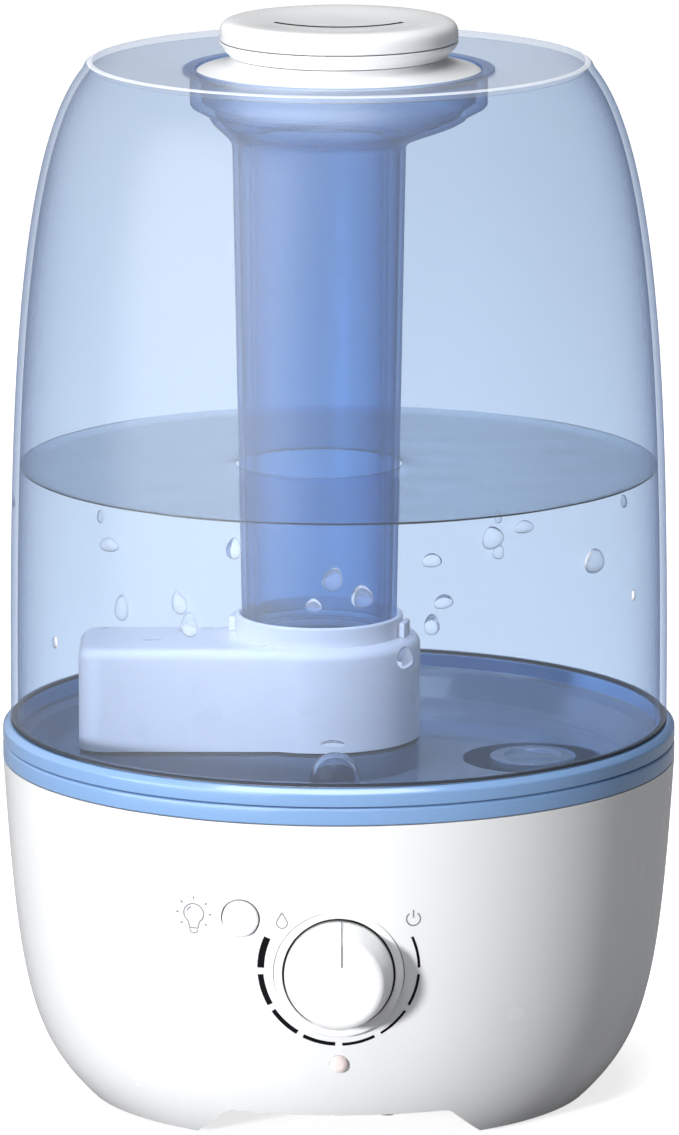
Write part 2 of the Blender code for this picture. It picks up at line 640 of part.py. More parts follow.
def build_mist_housing(look, gasket_look):
    housing = prism("mist_housing", keyhole(0), HOUSING_Z, HOUSING_TOP_Z, look)
    round_the_top(housing, HOUSING_TOP_Z, 3.2, 2)
    cut(housing, prism("housing_cutter", keyhole(2.0), 95.0, HOUSING_TOP_Z - 2.0, look))
    bore = HOUSING_TOP_Z + 0.4
    collar = [(15.0, 129.5), (23.6, 129.5), (23.6, 135.9), (23.1, COLLAR_TOP_Z), (22.3, COLLAR_TOP_Z)]
    collar += [(22.3, bore), (15.0, bore)]
    join(housing, turned("tube_collar", collar, look, (DUCT_X, 0), MEDIUM_STEPS))
    cut(housing, cylinders("mist_hole_cutter", [(DUCT_X, 0, 19.3, 110, 140)], look, MEDIUM_STEPS))
    gasket = prism("housing_gasket", keyhole(0.4), HOUSING_Z - 0.9, HOUSING_Z - GAP, gasket_look)
    cut(gasket, prism("gasket_cutter", keyhole(1.9), 95.0, 110.0, gasket_look))


def build_tank_gasket(look):
    low, high = RIM_Z + GAP, SHELL_BOTTOM_Z - GAP
    turned("tank_gasket", [(91.1, low), (92.7, low), (92.7, high), (91.1, high)], look, steps=LARGE_STEPS)


def coil(radius, bottom, top, turns, points_per_turn):
    """Points along a helix about Z."""
    count = int(turns * points_per_turn)
    points = []
    for step in range(count + 1):
        angle = math.tau * step / points_per_turn
        height = bottom + (top - bottom) * step / count
        points.append((radius * math.cos(angle), radius * math.sin(angle), height))
    return points


def build_valve(cap_look, plunger_look, seal_look, spring_look):
    place = (VALVE_X, VALVE_Y)
    low = WELL_FLOOR_Z + GAP
    outline = [(0, VALVE_CAP_TOP_Z), (11.7, VALVE_CAP_TOP_Z), (VALVE_CAP_R, 93.9), (VALVE_CAP_R, low)]
    outline += [(11.1, low), (11.1, 93.3), (0, 93.3)]
    cap = turned("valve_cap", outline, cap_look, place, SMALL_STEPS)
    for number, angle in enumerate((0, 90), 1):
        window = block(f"window_cutter_{number}", (-15, -3, 86.0), (15, 3, 90.5), cap_look)
        window.location = Vector((*place, 0)) * MM
        window.rotation_euler = (0, 0, math.radians(angle))
        cut(cap, window)
    # The valve is shut: its seal lies on the well's floor, and the plunger's disc lies on the seal.
    seal_top = low + 0.8
    disc, disc_top = seal_top + GAP, seal_top + GAP + 1.2
    stem = [(0, STEM_BOTTOM_Z), (1.6, STEM_BOTTOM_Z), (1.6, disc), (8.5, disc)]
    stem += [(8.5, disc_top), (0, disc_top)]
    turned("valve_plunger", stem, plunger_look, place, SMALL_STEPS)
    seal = [(2.0, low), (8.4, low), (8.4, seal_top), (2.0, seal_top)]
    turned("valve_seal", seal, seal_look, place, SMALL_STEPS)

    wire = bpy.data.curves.new("valve_spring", "CURVE")
    wire.dimensions = "3D"
    wire.bevel_depth = 0.4 * MM
    wire.bevel_resolution = 0
    wire.use_fill_caps = True
    points = coil(4.0, 87.4, 92.5, 3, 12)
    line = wire.splines.new("POLY")
    line.points.add(len(points) - 1)
    for point, place_on_coil in zip(line.points, points):
        point.co = (*(Vector(place_on_coil) * MM), 1.0)
    wire.materials.append(spring_look)
    spring = bpy.data.objects.new("valve_spring", wire)
    spring.location = Vector((*place, 0)) * MM
    bpy.context.scene.collection.objects.link(spring)


def build_mist_tube(tube_look, inner_look, seal_look):
    x = DUCT_X
    inner_r = FUNNEL_R - FUNNEL_WALL
    lip = MOUTH_Z - LIP_THICK
    rings = [(0, 0, MOUTH_Z, LIP_R), (0, 0, lip, LIP_R), (0, 0, lip, FUNNEL_R)]
    rings += [(0, 0, FUNNEL_STEP_Z, FUNNEL_R), (0, 0, 278.6, 36.4), (x, 0, TUBE_TOP_Z, 24.3)]
    rings += [(x, 0, TUBE_BOTTOM_Z, 21.8), (x, 0, TUBE_BOTTOM_Z, 20.4), (x, 0, TUBE_TOP_Z, 22.8)]
    ledge = LID_UNDER_Z - GAP
    rings += [(0, 0, 280.0, 35.0), (0, 0, 282.4, FUNNEL_LEDGE_R), (0, 0, ledge, FUNNEL_LEDGE_R)]
    rings += [(0, 0, ledge, inner_r), (0, 0, MOUTH_Z, inner_r)]
    lofted("mist_tube", rings, tube_look)

    outline = [(19.6, 271.0), (23.4, 271.6), (23.4, 272.6), (18.2, 272.6), (17.4, 131.0), (18.6, 131.0)]
    turned("inner_mist_tube", outline, inner_look, (x, 0), MEDIUM_STEPS)
    low, high = HOUSING_TOP_Z + 0.7, TUBE_BOTTOM_Z - GAP
    seal = [(19.8, low), (21.9, low), (21.9, high), (19.8, high)]
    turned("tube_seal", seal, seal_look, (x, 0), MEDIUM_STEPS)


def nozzle_mouth(inset, slot):
    """The nozzle's mouth seen from above, moved inwards by inset: round behind, and flatter in front,
    where its edge is moved back by slot."""
    back_r = NOZZLE_MOUTH_R - inset
    centre_y = SLOT_FRONT_Y + slot + SLOT_FRONT_R
    corner_y = (centre_y**2 - SLOT_FRONT_R**2 + back_r**2) / (2 * centre_y)
    start = math.degrees(math.asin(corner_y / back_r))
    half = math.degrees(math.asin(back_r * math.cos(math.radians(start)) / SLOT_FRONT_R))
    front = arc((0, centre_y), SLOT_FRONT_R, -90 - half, -90 + half, 8)
    return arc((0, 0), back_r, start, 180 - start, 16) + front[1:-1]


def build_nozzle(look, deflector_look):
    edge = [(LID_R, LID_EDGE_Z), (37.0, 291.7), (33.4, 292.5), (31.0, 293.7), (30.0, 294.9)]
    hub = [(HUB_R, 294.9), (HUB_R, 302.8), (HUB_BORE_R, 302.8), (HUB_BORE_R, LID_UNDER_Z)]
    turned("nozzle_lid", edge + hub + [(LID_R, LID_UNDER_Z)], look)

    low, high = 294.9 + GAP, NOZZLE_SEAM_Z - 0.15
    inner = HUB_R + GAP
    disc = [(inner, low), (30.4, low), (32.0, 296.6), (33.1, 298.2), (NOZZLE_R, high), (inner, high)]
    turned("nozzle_ring", disc, look)

    low, under = NOZZLE_SEAM_Z + 0.15, 303.2
    top = [(NOZZLE_R, low), (33.2, 302.0), (32.3, 304.2), (30.7, NOZZLE_TOP_Z), (0, NOZZLE_TOP_Z)]
    cap = turned("nozzle_cap", top + [(0, under), (30.6, under), (31.4, 301.6), (31.4, low)], look)
    cut(cap, prism("nozzle_mouth_cutter", nozzle_mouth(0, 0), 300.0, 310.0, look))

    # The deflector leans forwards from the back of the mouth and leaves a crescent slot at the front.
    deflector = prism("mist_deflector", nozzle_mouth(0.4, SLOT_WIDTH), -1.0, 0.0, deflector_look)
    deflector.location = Vector((0, 0, under)) * MM
    deflector.rotation_euler = (math.radians(SCOOP_TILT), 0, 0)


def main():
    for leftover in list(bpy.data.objects):
        bpy.data.objects.remove(leftover)

    white = material("gloss_white", (0.90, 0.91, 0.92), 0.22)
    pale = material("pale_blue", (0.72, 0.82, 0.93), 0.25, transmission=0.3)
    clear_blue = material("clear_blue", (0.45, 0.64, 0.90), 0.08, transmission=0.8)
    band_blue = material("band_blue", (0.25, 0.45, 0.75), 0.18)
    dark_blue = material("floor_blue", (0.22, 0.30, 0.42), 0.2)
    frosted = material("frosted_clear", (0.92, 0.92, 0.90), 0.15, transmission=0.6)
    rubber = material("rubber", (0.05, 0.05, 0.06), 0.7)
    silicone = material("silicone", (0.70, 0.74, 0.78), 0.5)
    steel = material("steel", (0.62, 0.62, 0.64), 0.3, metallic=1.0)
    brass = material("brass", (0.75, 0.58, 0.28), 0.3, metallic=1.0)
    aluminium = material("aluminium", (0.75, 0.76, 0.78), 0.35, metallic=1.0)
    black = material("black_plastic", (0.03, 0.03, 0.03), 0.4)
    board = material("circuit_board", (0.05, 0.28, 0.12), 0.45)
    copper = material("copper", (0.72, 0.38, 0.20), 0.35, metallic=1.0)
    foam = material("filter_foam", (0.12, 0.12, 0.13), 0.95)

    build_base_shell(white)
    build_bottom_cover(white)
    build_feet(rubber)
    build_cover_screws(steel)
    build_intake(foam, white)
    build_fan(black, black, steel)
    build_air_duct(white)
    build_water_tray(band_blue)
    build_transducer(brass, silicone, aluminium, pale)
    build_float(white, black)
    build_electronics(board, aluminium, black, copper)
    build_controls(board, black, steel, frosted)
    build_knob(white, steel, white)
    build_light_button(white)
    build_night_light(board, frosted)
    build_power_jack(black)

    build_tank_shell(clear_blue)
    build_tank_mouth(clear_blue)
    build_tank_floor(dark_blue)
    build_float_dome(dark_blue)
    build_mist_housing(pale, rubber)
    build_tank_gasket(rubber)
    build_valve(dark_blue, white, rubber, steel)
    build_mist_tube(clear_blue, clear_blue, silicone)
    build_nozzle(white, white)

    whole = bpy.data.objects.new("humidifier", None)
    bpy.context.scene.collection.objects.link(whole)
    whole.location.y = AXIS_Y * MM
    for piece in bpy.data.objects:
        if piece is not whole:
            piece.parent = whole


main()
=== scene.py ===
"""Looks of the cool mist humidifier: fine surfaces, materials, water, printed marks, light and camera.

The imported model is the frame. Lengths here are in millimetres and MM turns them into metres. A turned
outline is a list of (radius, height) points, and a third number rounds that corner to its radius.
"""

import json
import math

import bmesh
import bpy
from mathutils import Matrix, Vector
from mathutils import noise as hash_noise
from mathutils.geometry import interpolate_bezier

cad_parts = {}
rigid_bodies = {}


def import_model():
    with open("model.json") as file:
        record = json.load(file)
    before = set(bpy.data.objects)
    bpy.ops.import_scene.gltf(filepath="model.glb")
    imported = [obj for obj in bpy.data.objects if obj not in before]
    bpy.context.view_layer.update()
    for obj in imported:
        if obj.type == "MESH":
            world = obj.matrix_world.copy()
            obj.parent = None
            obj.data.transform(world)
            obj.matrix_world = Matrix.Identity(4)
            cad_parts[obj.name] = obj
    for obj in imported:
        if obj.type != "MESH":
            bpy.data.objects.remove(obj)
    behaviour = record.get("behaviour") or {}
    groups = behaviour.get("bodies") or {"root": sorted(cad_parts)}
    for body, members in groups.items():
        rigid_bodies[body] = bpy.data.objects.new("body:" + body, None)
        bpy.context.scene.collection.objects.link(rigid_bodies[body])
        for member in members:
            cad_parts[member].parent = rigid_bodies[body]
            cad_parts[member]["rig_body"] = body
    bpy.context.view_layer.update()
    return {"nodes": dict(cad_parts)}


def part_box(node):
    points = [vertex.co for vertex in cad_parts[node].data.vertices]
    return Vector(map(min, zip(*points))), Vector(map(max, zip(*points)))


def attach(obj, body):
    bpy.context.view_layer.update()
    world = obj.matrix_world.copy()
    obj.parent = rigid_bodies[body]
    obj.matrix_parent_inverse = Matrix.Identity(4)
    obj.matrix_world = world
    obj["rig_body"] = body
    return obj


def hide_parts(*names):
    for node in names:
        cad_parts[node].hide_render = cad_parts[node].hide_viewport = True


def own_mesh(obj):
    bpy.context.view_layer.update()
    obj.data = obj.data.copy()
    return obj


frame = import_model()

MM = 0.001
FINE, MEDIUM, SMALL, TINY = 160, 96, 48, 24  # sides of a round piece, by its size
SIDE_POINTS = 60  # points down a long outer side
ARC_STEP = 12.0  # degrees between the points of a rounded corner
SHARP = 30.0  # degrees at which an edge stays sharp
SAME_POINT = 1e-7  # metres within which two points become one
LEVEL = 1e-6  # metres within which a point counts as being at a height

# The centre line of the base and the tank is this far behind the origin, and Y is measured from it.
AXIS_Y = sum(corner.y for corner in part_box("base_shell")) / 2 / MM


def extent(node):
    """Lowest and highest corner of a CAD node, in millimetres from the centre line."""
    return [corner / MM - Vector((0, AXIS_Y, 0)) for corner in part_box(node)]


BASE_LOW, BASE_HIGH = extent("base_shell")
TRAY_LOW, TRAY_HIGH = extent("water_tray")
TANK_LOW, TANK_HIGH = extent("tank_shell")
SEAM_LOW, SEAM_HIGH = extent("tank_gasket")
HOUSING_LOW, HOUSING_HIGH = extent("mist_housing")
TUBE_LOW, TUBE_HIGH = extent("mist_tube")
INNER_LOW, INNER_HIGH = extent("inner_mist_tube")
LID_LOW = extent("nozzle_lid")[0]
RING_LOW, RING_HIGH = extent("nozzle_ring")
CAP_LOW, CAP_HIGH = extent("nozzle_cap")
BEZEL_LOW, BEZEL_HIGH = extent("knob_bezel")
KNOB_LOW, KNOB_HIGH = extent("mist_knob")
BUTTON_LOW, BUTTON_HIGH = extent("light_button")
LENS_LOW, LENS_HIGH = extent("indicator_lens")
DOME_LOW, DOME_HIGH = extent("float_dome")
VALVE_LOW, VALVE_HIGH = extent("valve_cap")
SPRING_LOW, SPRING_HIGH = extent("valve_spring")

RADIUS = BASE_HIGH.x
BASE_TOP = BASE_HIGH.z
BASE_BOTTOM = BASE_LOW.z
BASE_WALL = 2.6
KNOB_Z = (KNOB_LOW.z + KNOB_HIGH.z) / 2
BUTTON_X = (BUTTON_LOW.x + BUTTON_HIGH.x) / 2
BUTTON_Z = (BUTTON_LOW.z + BUTTON_HIGH.z) / 2
LENS_Z = (LENS_LOW.z + LENS_HIGH.z) / 2
MARKER_X = 0.8
SCALE_Z = KNOB_Z + 1.4
JACK_Z = 30.0
DUCT_X = (INNER_LOW.x + INNER_HIGH.x) / 2
DUCT_R = HOUSING_HIGH.x - DUCT_X
DUCT_LEFT = HOUSING_LOW.x
DUCT_FRONT = -26.2
DUCT_BACK = 9.6
DUCT_CORNER = 7.0
HOUSING_TOP = 130.8
MOUTH_Z = TUBE_HIGH.z
MOUTH_R = 44.0
TANK_WALL = 2.0
VALVE_CENTRE = ((VALVE_LOW.x + VALVE_HIGH.x) / 2, (VALVE_LOW.y + VALVE_HIGH.y) / 2)
DOME_CENTRE = ((DOME_LOW.x + DOME_HIGH.x) / 2, (DOME_LOW.y + DOME_HIGH.y) / 2)
CHIMNEY = (-50.0, -8.2)
TANK_FLOOR = 93.5
WATER_LEVEL = 178.5


# ---- node materials


def blank(name):
    """An empty node material and its tree."""
    made = bpy.data.materials.new(name)
    made.use_nodes = True
    made.node_tree.nodes.clear()
    return made, made.node_tree


def feed(tree, socket, value):
    """Sets an input to a value, or links it to the output socket that feeds it."""
    if isinstance(value, bpy.types.NodeSocket):
        tree.links.new(value, socket)
    else:
        socket.default_value = value


def add(tree, kind, settings=None, **inputs):
    """A shader node. An input is a value, or the output socket that feeds it."""
    made = tree.nodes.new(kind)
    for key, value in (settings or {}).items():
        setattr(made, key, value)
    for key, value in inputs.items():
        feed(tree, made.inputs[key.replace("_", " ")], value)
    return made


def maths(tree, operation, first, second):
    """A number from two others, kept between 0 and 1."""
    made = add(tree, "ShaderNodeMath", {"operation": operation, "use_clamp": True})
    feed(tree, made.inputs[0], first)
    feed(tree, made.inputs[1], second)
    return made.outputs[0]


def rgba(colour):
    """An opaque colour."""
    return (*colour, 1.0)


def finish_material(tree, shader):
    """Makes this shader the surface of the tree's material."""
    output = tree.nodes.new("ShaderNodeOutputMaterial")
    tree.links.new(shader.outputs[0], output.inputs["Surface"])


def principled(made, **inputs):
    """Gives a material a principled surface with these inputs."""
    tree = made.node_tree
    finish_material(tree, add(tree, "ShaderNodeBsdfPrincipled", **inputs))
    return made


def mixed_shader(tree, factor, first, second):
    """A shader between two, by factor."""
    mix = add(tree, "ShaderNodeMixShader", Fac=factor)
    tree.links.new(first.outputs[0], mix.inputs[1])
    tree.links.new(second.outputs[0], mix.inputs[2])
    return mix


def mottled(tree, scale, detail=3.0):
    """A noise value about 0.5 that is fixed to the object."""
    place = add(tree, "ShaderNodeTexCoord").outputs["Object"]
    return add(tree, "ShaderNodeTexNoise", Vector=place, Scale=scale, Detail=detail).outputs["Fac"]


def ramp(tree, value, low, high, **limits):
    """Maps a value of 0 to 1, or from its limits, onto low to high."""
    return add(tree, "ShaderNodeMapRange", Value=value, To_Min=low, To_Max=high, **limits).outputs["Result"]


def spread(tree, value, low, high):
    """Maps a noise value of 0.3 to 0.7, which is most of them, onto low to high."""
    return ramp(tree, value, low, high, From_Min=0.3, From_Max=0.7)


def varied(tree, noise, middle, share):
    """A value that strays from middle by this share of it, as the noise goes."""
    return spread(tree, noise, middle * (1 - share), middle * (1 + share))


def blended(tree, factor, first, second):
    """A colour between two, by factor."""
    mix = tree.nodes.new("ShaderNodeMix")
    mix.data_type = "RGBA"
    feed(tree, mix.inputs[0], factor)
    mix.inputs[6].default_value = rgba(first)
    mix.inputs[7].default_value = rgba(second)
    return mix.outputs[2]


def bumped(tree, height, depth_mm):
    """A normal from a height value, with the depth in millimetres."""
    bump = add(tree, "ShaderNodeBump", Height=height, Distance=depth_mm * MM, Strength=1.0)
    return bump.outputs["Normal"]


def moulded(name, colour, roughness, grain_mm=0.02, grain_scale=900.0, **shader_values):
    """Moulded plastic: a slow drift of colour, a fine grain, and gloss that varies a little."""
    drift_scale, darkening = 14.0, 0.03
    gloss_scale, gloss_share = 60.0, 0.15
    grain_detail = 2.0
    made, tree = blank(name)
    darker = [channel * (1 - darkening) for channel in colour]
    drift = spread(tree, mottled(tree, drift_scale), 0.0, 1.0)
    return principled(
        made,
        Base_Color=blended(tree, drift, darker, colour),
        Roughness=varied(tree, mottled(tree, gloss_scale), roughness, gloss_share),
        Normal=bumped(tree, mottled(tree, grain_scale, grain_detail), grain_mm),
        **shader_values,
    )


def metal(name, colour, roughness):
    """Metal with fine streaks from rolling or turning."""
    wide, narrow, detail = 60.0, 2500.0, 4.0
    darkening, gloss_share, groove_mm = 0.2, 0.3, 0.01
    made, tree = blank(name)
    place = add(tree, "ShaderNodeTexCoord").outputs["Object"]
    stretched = add(tree, "ShaderNodeMapping", Vector=place, Scale=(wide, wide, narrow)).outputs[0]
    streak = add(tree, "ShaderNodeTexNoise", Vector=stretched, Scale=1.0, Detail=detail).outputs["Fac"]
    dark = [channel * (1 - darkening) for channel in colour]
    return principled(
        made,
        Base_Color=blended(tree, spread(tree, streak, 0.0, 1.0), dark, colour),
        Metallic=1.0,
        Roughness=varied(tree, streak, roughness, gloss_share),
        Normal=bumped(tree, streak, groove_mm),
    )


def circuit_board(name):
    """Green solder mask with copper tracks showing through as a paler pattern."""
    cell_scale, track_width, track_mm = 220.0, 0.12, 0.03
    gloss_scale, gloss_low, gloss_high = 300.0, 0.3, 0.5
    mask, tracks = (0.01, 0.11, 0.04), (0.05, 0.26, 0.10)
    made, tree = blank(name)
    cells = add(
        tree,
        "ShaderNodeTexVoronoi",
        {"distance": "MANHATTAN", "feature": "DISTANCE_TO_EDGE"},
        Vector=add(tree, "ShaderNodeTexCoord").outputs["Object"],
        Scale=cell_scale,
    )
    track = maths(tree, "LESS_THAN", cells.outputs["Distance"], track_width)
    return principled(
        made,
        Base_Color=blended(tree, track, mask, tracks),
        Roughness=spread(tree, mottled(tree, gloss_scale), gloss_low, gloss_high),
        Normal=bumped(tree, track, track_mm),
    )


def edge_weight(tree, power):
    """0 where the surface faces the eye, 1 where it turns away, sharper with power."""
    weight = add(tree, "ShaderNodeLayerWeight", Blend=0.5)
    return maths(tree, "POWER", weight.outputs["Facing"], power)


def clear_wall(name, through, edge, body, haze, edge_power=7.0):
    """Thin clear plastic. Light goes straight through, tinted more where the wall is seen edge on.

    The haze is in the skin of its lit side, so a face seen from within the plastic has none.
    """
    wave_scale, wave_detail, wave_mm = 26.0, 1.0, 0.05
    film_power, film_low, film_high, film_roughness = 5.0, 0.035, 0.45, 0.32
    haze_scale, haze_share, haze_roughness = 9.0, 0.1, 0.35
    made, tree = blank(name)
    tint = blended(tree, edge_weight(tree, edge_power), through, edge)
    passing = add(tree, "ShaderNodeBsdfTransparent", Color=tint)
    shine = add(
        tree,
        "ShaderNodeBsdfGlossy",
        Color=rgba((1, 1, 1)),
        Roughness=film_roughness,
        Normal=bumped(tree, mottled(tree, wave_scale, wave_detail), wave_mm),
    )
    mirrored = ramp(tree, edge_weight(tree, film_power), film_low, film_high)
    film = mixed_shader(tree, mirrored, passing, shine)
    cloudy = varied(tree, mottled(tree, haze_scale), haze, haze_share)
    outer_side = ramp(tree, add(tree, "ShaderNodeNewGeometry").outputs["Backfacing"], cloudy, 0.0)
    solid = add(tree, "ShaderNodeBsdfPrincipled", Base_Color=rgba(body), Roughness=haze_roughness)
    finish_material(tree, mixed_shader(tree, outer_side, film, solid))
    return made


def clear_solid(name, through, edge, ior, edge_power=3.0, wave_mm=0.0):
    """Clear plastic or water that bends light, tinted more where it is seen edge on."""
    roughness, gloss_share, gloss_scale = 0.02, 0.5, 50.0
    wave_scale, wave_detail = 40.0, 2.0
    made, tree = blank(name)
    waves = {}
    if wave_mm:
        waves["Normal"] = bumped(tree, mottled(tree, wave_scale, wave_detail), wave_mm)
    return principled(
        made,
        Base_Color=blended(tree, edge_weight(tree, edge_power), through, edge),
        Transmission_Weight=1.0,
        IOR=ior,
        Roughness=varied(tree, mottled(tree, gloss_scale), roughness, gloss_share),
        **waves,
    )


def lamp_lens(name, rim, middle, glow):
    """A frosted lens with a faint coloured glow in its middle."""
    frost_scale, frost_low, frost_high = 400.0, 0.12, 0.22
    glow_strength = 0.04
    made, tree = blank(name)
    inside = maths(tree, "SUBTRACT", 1.0, edge_weight(tree, 1.0))
    return principled(
        made,
        Base_Color=blended(tree, inside, rim, middle),
        Roughness=spread(tree, mottled(tree, frost_scale), frost_low, frost_high),
        Emission_Color=rgba(glow),
        Emission_Strength=glow_strength,
    )


white = moulded("white_plastic", (0.83, 0.84, 0.85), 0.24, Coat_Weight=0.4, Coat_Roughness=0.12)
satin = moulded("satin_white_plastic", (0.80, 0.81, 0.82), 0.42)
band = moulded("blue_plastic", (0.20, 0.35, 0.61), 0.20, Coat_Weight=0.6, Coat_Roughness=0.08)
basin = moulded("dark_blue_plastic", (0.15, 0.20, 0.30), 0.16, Coat_Weight=0.6, Coat_Roughness=0.06)
pale = moulded("pale_blue_plastic", (0.86, 0.80, 0.84), 0.30, Subsurface_Weight=0.1, Subsurface_Scale=0.01)
rubber = moulded("black_rubber", (0.03, 0.035, 0.045), 0.62, grain_mm=0.06)
silicone = moulded("clear_silicone", (0.50, 0.57, 0.66), 0.45)
# Black plastic, also used as painted shade in the well of the knob's ring.
black = moulded("black_plastic_and_painted_shade", (0.02, 0.02, 0.022), 0.38)
foam = moulded("foam", (0.05, 0.05, 0.055), 0.95, grain_mm=0.8, grain_scale=500.0)
# Black ink for print, also used as painted shade on the walls of the nozzle's slot.
ink = moulded("black_ink_and_painted_shade", (0.004, 0.004, 0.005), 0.6, Specular_IOR_Level=0.1)
grey_ink = moulded("grey_ink", (0.22, 0.23, 0.24), 0.5, Specular_IOR_Level=0.2)
steel = metal("brushed_steel", (0.55, 0.56, 0.58), 0.30)
brass = metal("turned_brass", (0.66, 0.48, 0.20), 0.28)
aluminium = metal("rolled_aluminium", (0.66, 0.67, 0.69), 0.34)
copper = metal("copper_wire", (0.62, 0.27, 0.13), 0.36)
board = circuit_board("green_board")
lens = lamp_lens("frosted_lens", (0.84, 0.83, 0.83), (0.86, 0.74, 0.73), (1.0, 0.25, 0.18))

# Each clear wall: the tint of light through it, its tint seen edge on, and the body of its haze.
TANK_THROUGH, TANK_BODY = (0.79, 0.84, 0.90), (0.60, 0.68, 0.80)
TANK_TINTS = TANK_THROUGH, (0.28, 0.38, 0.60), TANK_BODY
TUBE_TINTS = (0.68, 0.80, 0.925), (0.16, 0.26, 0.50), (0.60, 0.70, 0.86)
tank_clear = clear_wall("clear_tank", *TANK_TINTS, haze=0.05)
tank_inside_clear = clear_wall("clear_tank_inside", *TANK_TINTS, haze=0.0)
# The top face has its own tint, lighter than the wall's, though it is the same plastic: painted light on
# the top.
tank_top_painted_light = clear_wall("clear_tank_top_painted_light", (0.91, 0.93, 0.97), (0.84, 0.88, 0.95), TANK_BODY, haze=0.04)
# The shoulder rim is a whiter, hazier band of the same plastic: a painted highlight along the tank's top
# edge.
tank_rim_painted_highlight = clear_wall("clear_tank_rim_painted_highlight", TANK_THROUGH, (0.9, 0.94, 1.0), (0.92, 0.95, 1.0), haze=0.6)
tube_clear = clear_wall("clear_tube", *TUBE_TINTS, haze=0.12, edge_power=2.5)
tube_inside_clear = clear_wall("clear_tube_inside", *TUBE_TINTS, haze=0.0, edge_power=2.5)

inner_clear = clear_solid("clear_inner_tube", (0.70, 0.82, 0.93), (0.12, 0.22, 0.45), ior=1.06)
dome_clear = clear_solid("smoked_dome", (0.42, 0.50, 0.62), (0.10, 0.14, 0.22), ior=1.3)
# The drops' near-black edge tint is painted shade: the dark rims that a drop's bending of light gives it.
drop_dark_rim_clear = clear_solid("water_drop", (0.97, 0.98, 1.0), (0.01, 0.03, 0.08), ior=1.20, edge_power=1.3)
water_clear = clear_solid(
    "water", (0.66, 0.75, 0.86), (0.58, 0.67, 0.80), ior=1.33, edge_power=6.0, wave_mm=0.04
)

SLOT_LOOKS = {
    "gloss_white": white,
    "matte_white": satin,
    "band_blue": band,
    "floor_blue": basin,
    "clear_blue": tube_clear,
    "pale_blue": pale,
    "rubber": rubber,
    "silicone": silicone,
    "steel": steel,
    "brass": brass,
    "aluminium": aluminium,
    "black_plastic": black,
    "circuit_board": board,
    "copper": copper,
    "filter_foam": foam,
    "frosted_clear": lens,
}


# ---- mesh helpers


def linked(name, shape, look, location=(0.0, 0.0, 0.0)):
    """Turns a bmesh into an object whose faces point out."""
    bmesh.ops.recalc_face_normals(shape, faces=shape.faces)
    mesh = bpy.data.meshes.new(name)
    shape.to_mesh(mesh)
    shape.free()
    mesh.materials.append(look)
    made = bpy.data.objects.new(name, mesh)
    made.location = Vector(location) * MM
    bpy.context.scene.collection.objects.link(made)
    bpy.context.view_layer.update()
    shaded(made)
    return made


def shaded(piece):
    """Smooth shading, with every corner sharper than SHARP kept crisp."""
    piece.data.shade_smooth()
    piece.data.set_sharp_from_angle(angle=math.radians(SHARP))


def rounded(corners):
    """The closed outline through these corners, with each third number as that corner's radius."""
    outline = []
    for index, (across, up, *fillet) in enumerate(corners):
        corner = Vector((across, up))
        if not fillet:
            outline.append((across, up))
            continue
        back = (Vector(corners[index - 1][:2]) - corner).normalized()
        ahead = (Vector(corners[(index + 1) % len(corners)][:2]) - corner).normalized()
        half = back.angle(ahead) / 2
        centre = corner + (back + ahead).normalized() * fillet[0] / math.sin(half)
        start = corner + back * fillet[0] / math.tan(half) - centre
        sweep = math.pi - 2 * half
        turn = -math.copysign(sweep, back.x * ahead.y - back.y * ahead.x)
        steps = max(2, round(math.degrees(sweep) / ARC_STEP))
        for step in range(steps + 1):
            spoke = start.copy()
            spoke.rotate(Matrix.Rotation(turn * step / steps, 2))
            outline.append(tuple(centre + spoke))
    return outline


def curve(start, start_handle, end_handle, end, points):
    """(radius, height) points along a cubic curve, both ends included."""
    spline = interpolate_bezier(
        *[Vector((*place, 0.0)) for place in (start, start_handle, end_handle, end)], points
    )
    return [(point.x, point.y) for point in spline]


def offset(outline, distance):
    """The outline moved to its right, which is inwards when it runs down an outer side."""
    moved = []
    for index, (radius, height) in enumerate(outline):
        before = outline[max(index - 1, 0)]
        after = outline[min(index + 1, len(outline) - 1)]
        along = Vector((after[0] - before[0], after[1] - before[1])).normalized()
        moved.append((radius + along.y * distance, height - along.x * distance))
    return moved


def arc(centre, radius, start, end, steps):
    """Points on an arc, with its angles in degrees and both ends included."""
    angles = [math.radians(start + (end - start) * step / steps) for step in range(steps + 1)]
    return [(centre[0] + radius * math.cos(a), centre[1] + radius * math.sin(a)) for a in angles]


def polar(angle):
    """The flat unit vector at this angle."""
    return Vector((math.cos(angle), math.sin(angle)))


def skin(shape, rows):
    """Faces from each closed row of points to the next."""
    for near, far in zip(rows, rows[1:]):
        for index, point in enumerate(near):
            after = (index + 1) % len(near)
            shape.faces.new((point, near[after], far[after], far[index]))


def closed_skin(shape, rows):
    """Faces from each closed row of points to the next, and one over each end."""
    skin(shape, rows)
    shape.faces.new(rows[0])
    shape.faces.new(rows[-1])


def turned(name, outline, look, centre=(0.0, 0.0), steps=MEDIUM):
    """A closed outline of (radius, height) points spun about an upright axis at centre."""
    shape = bmesh.new()
    points = [shape.verts.new((max(radius, 0.0) * MM, 0.0, height * MM)) for radius, height in outline]
    pairs = zip(points, points[1:] + points[:1])
    edges = [shape.edges.new(pair) for pair in pairs if pair[0].co.x + pair[1].co.x > 0]
    full_turn = {"cent": (0, 0, 0), "axis": (0, 0, 1), "angle": math.tau, "use_merge": True}
    bmesh.ops.spin(shape, geom=points + edges, steps=steps, **full_turn)
    bmesh.ops.remove_doubles(shape, verts=shape.verts, dist=SAME_POINT)
    return linked(name, shape, look, (*centre, 0.0))


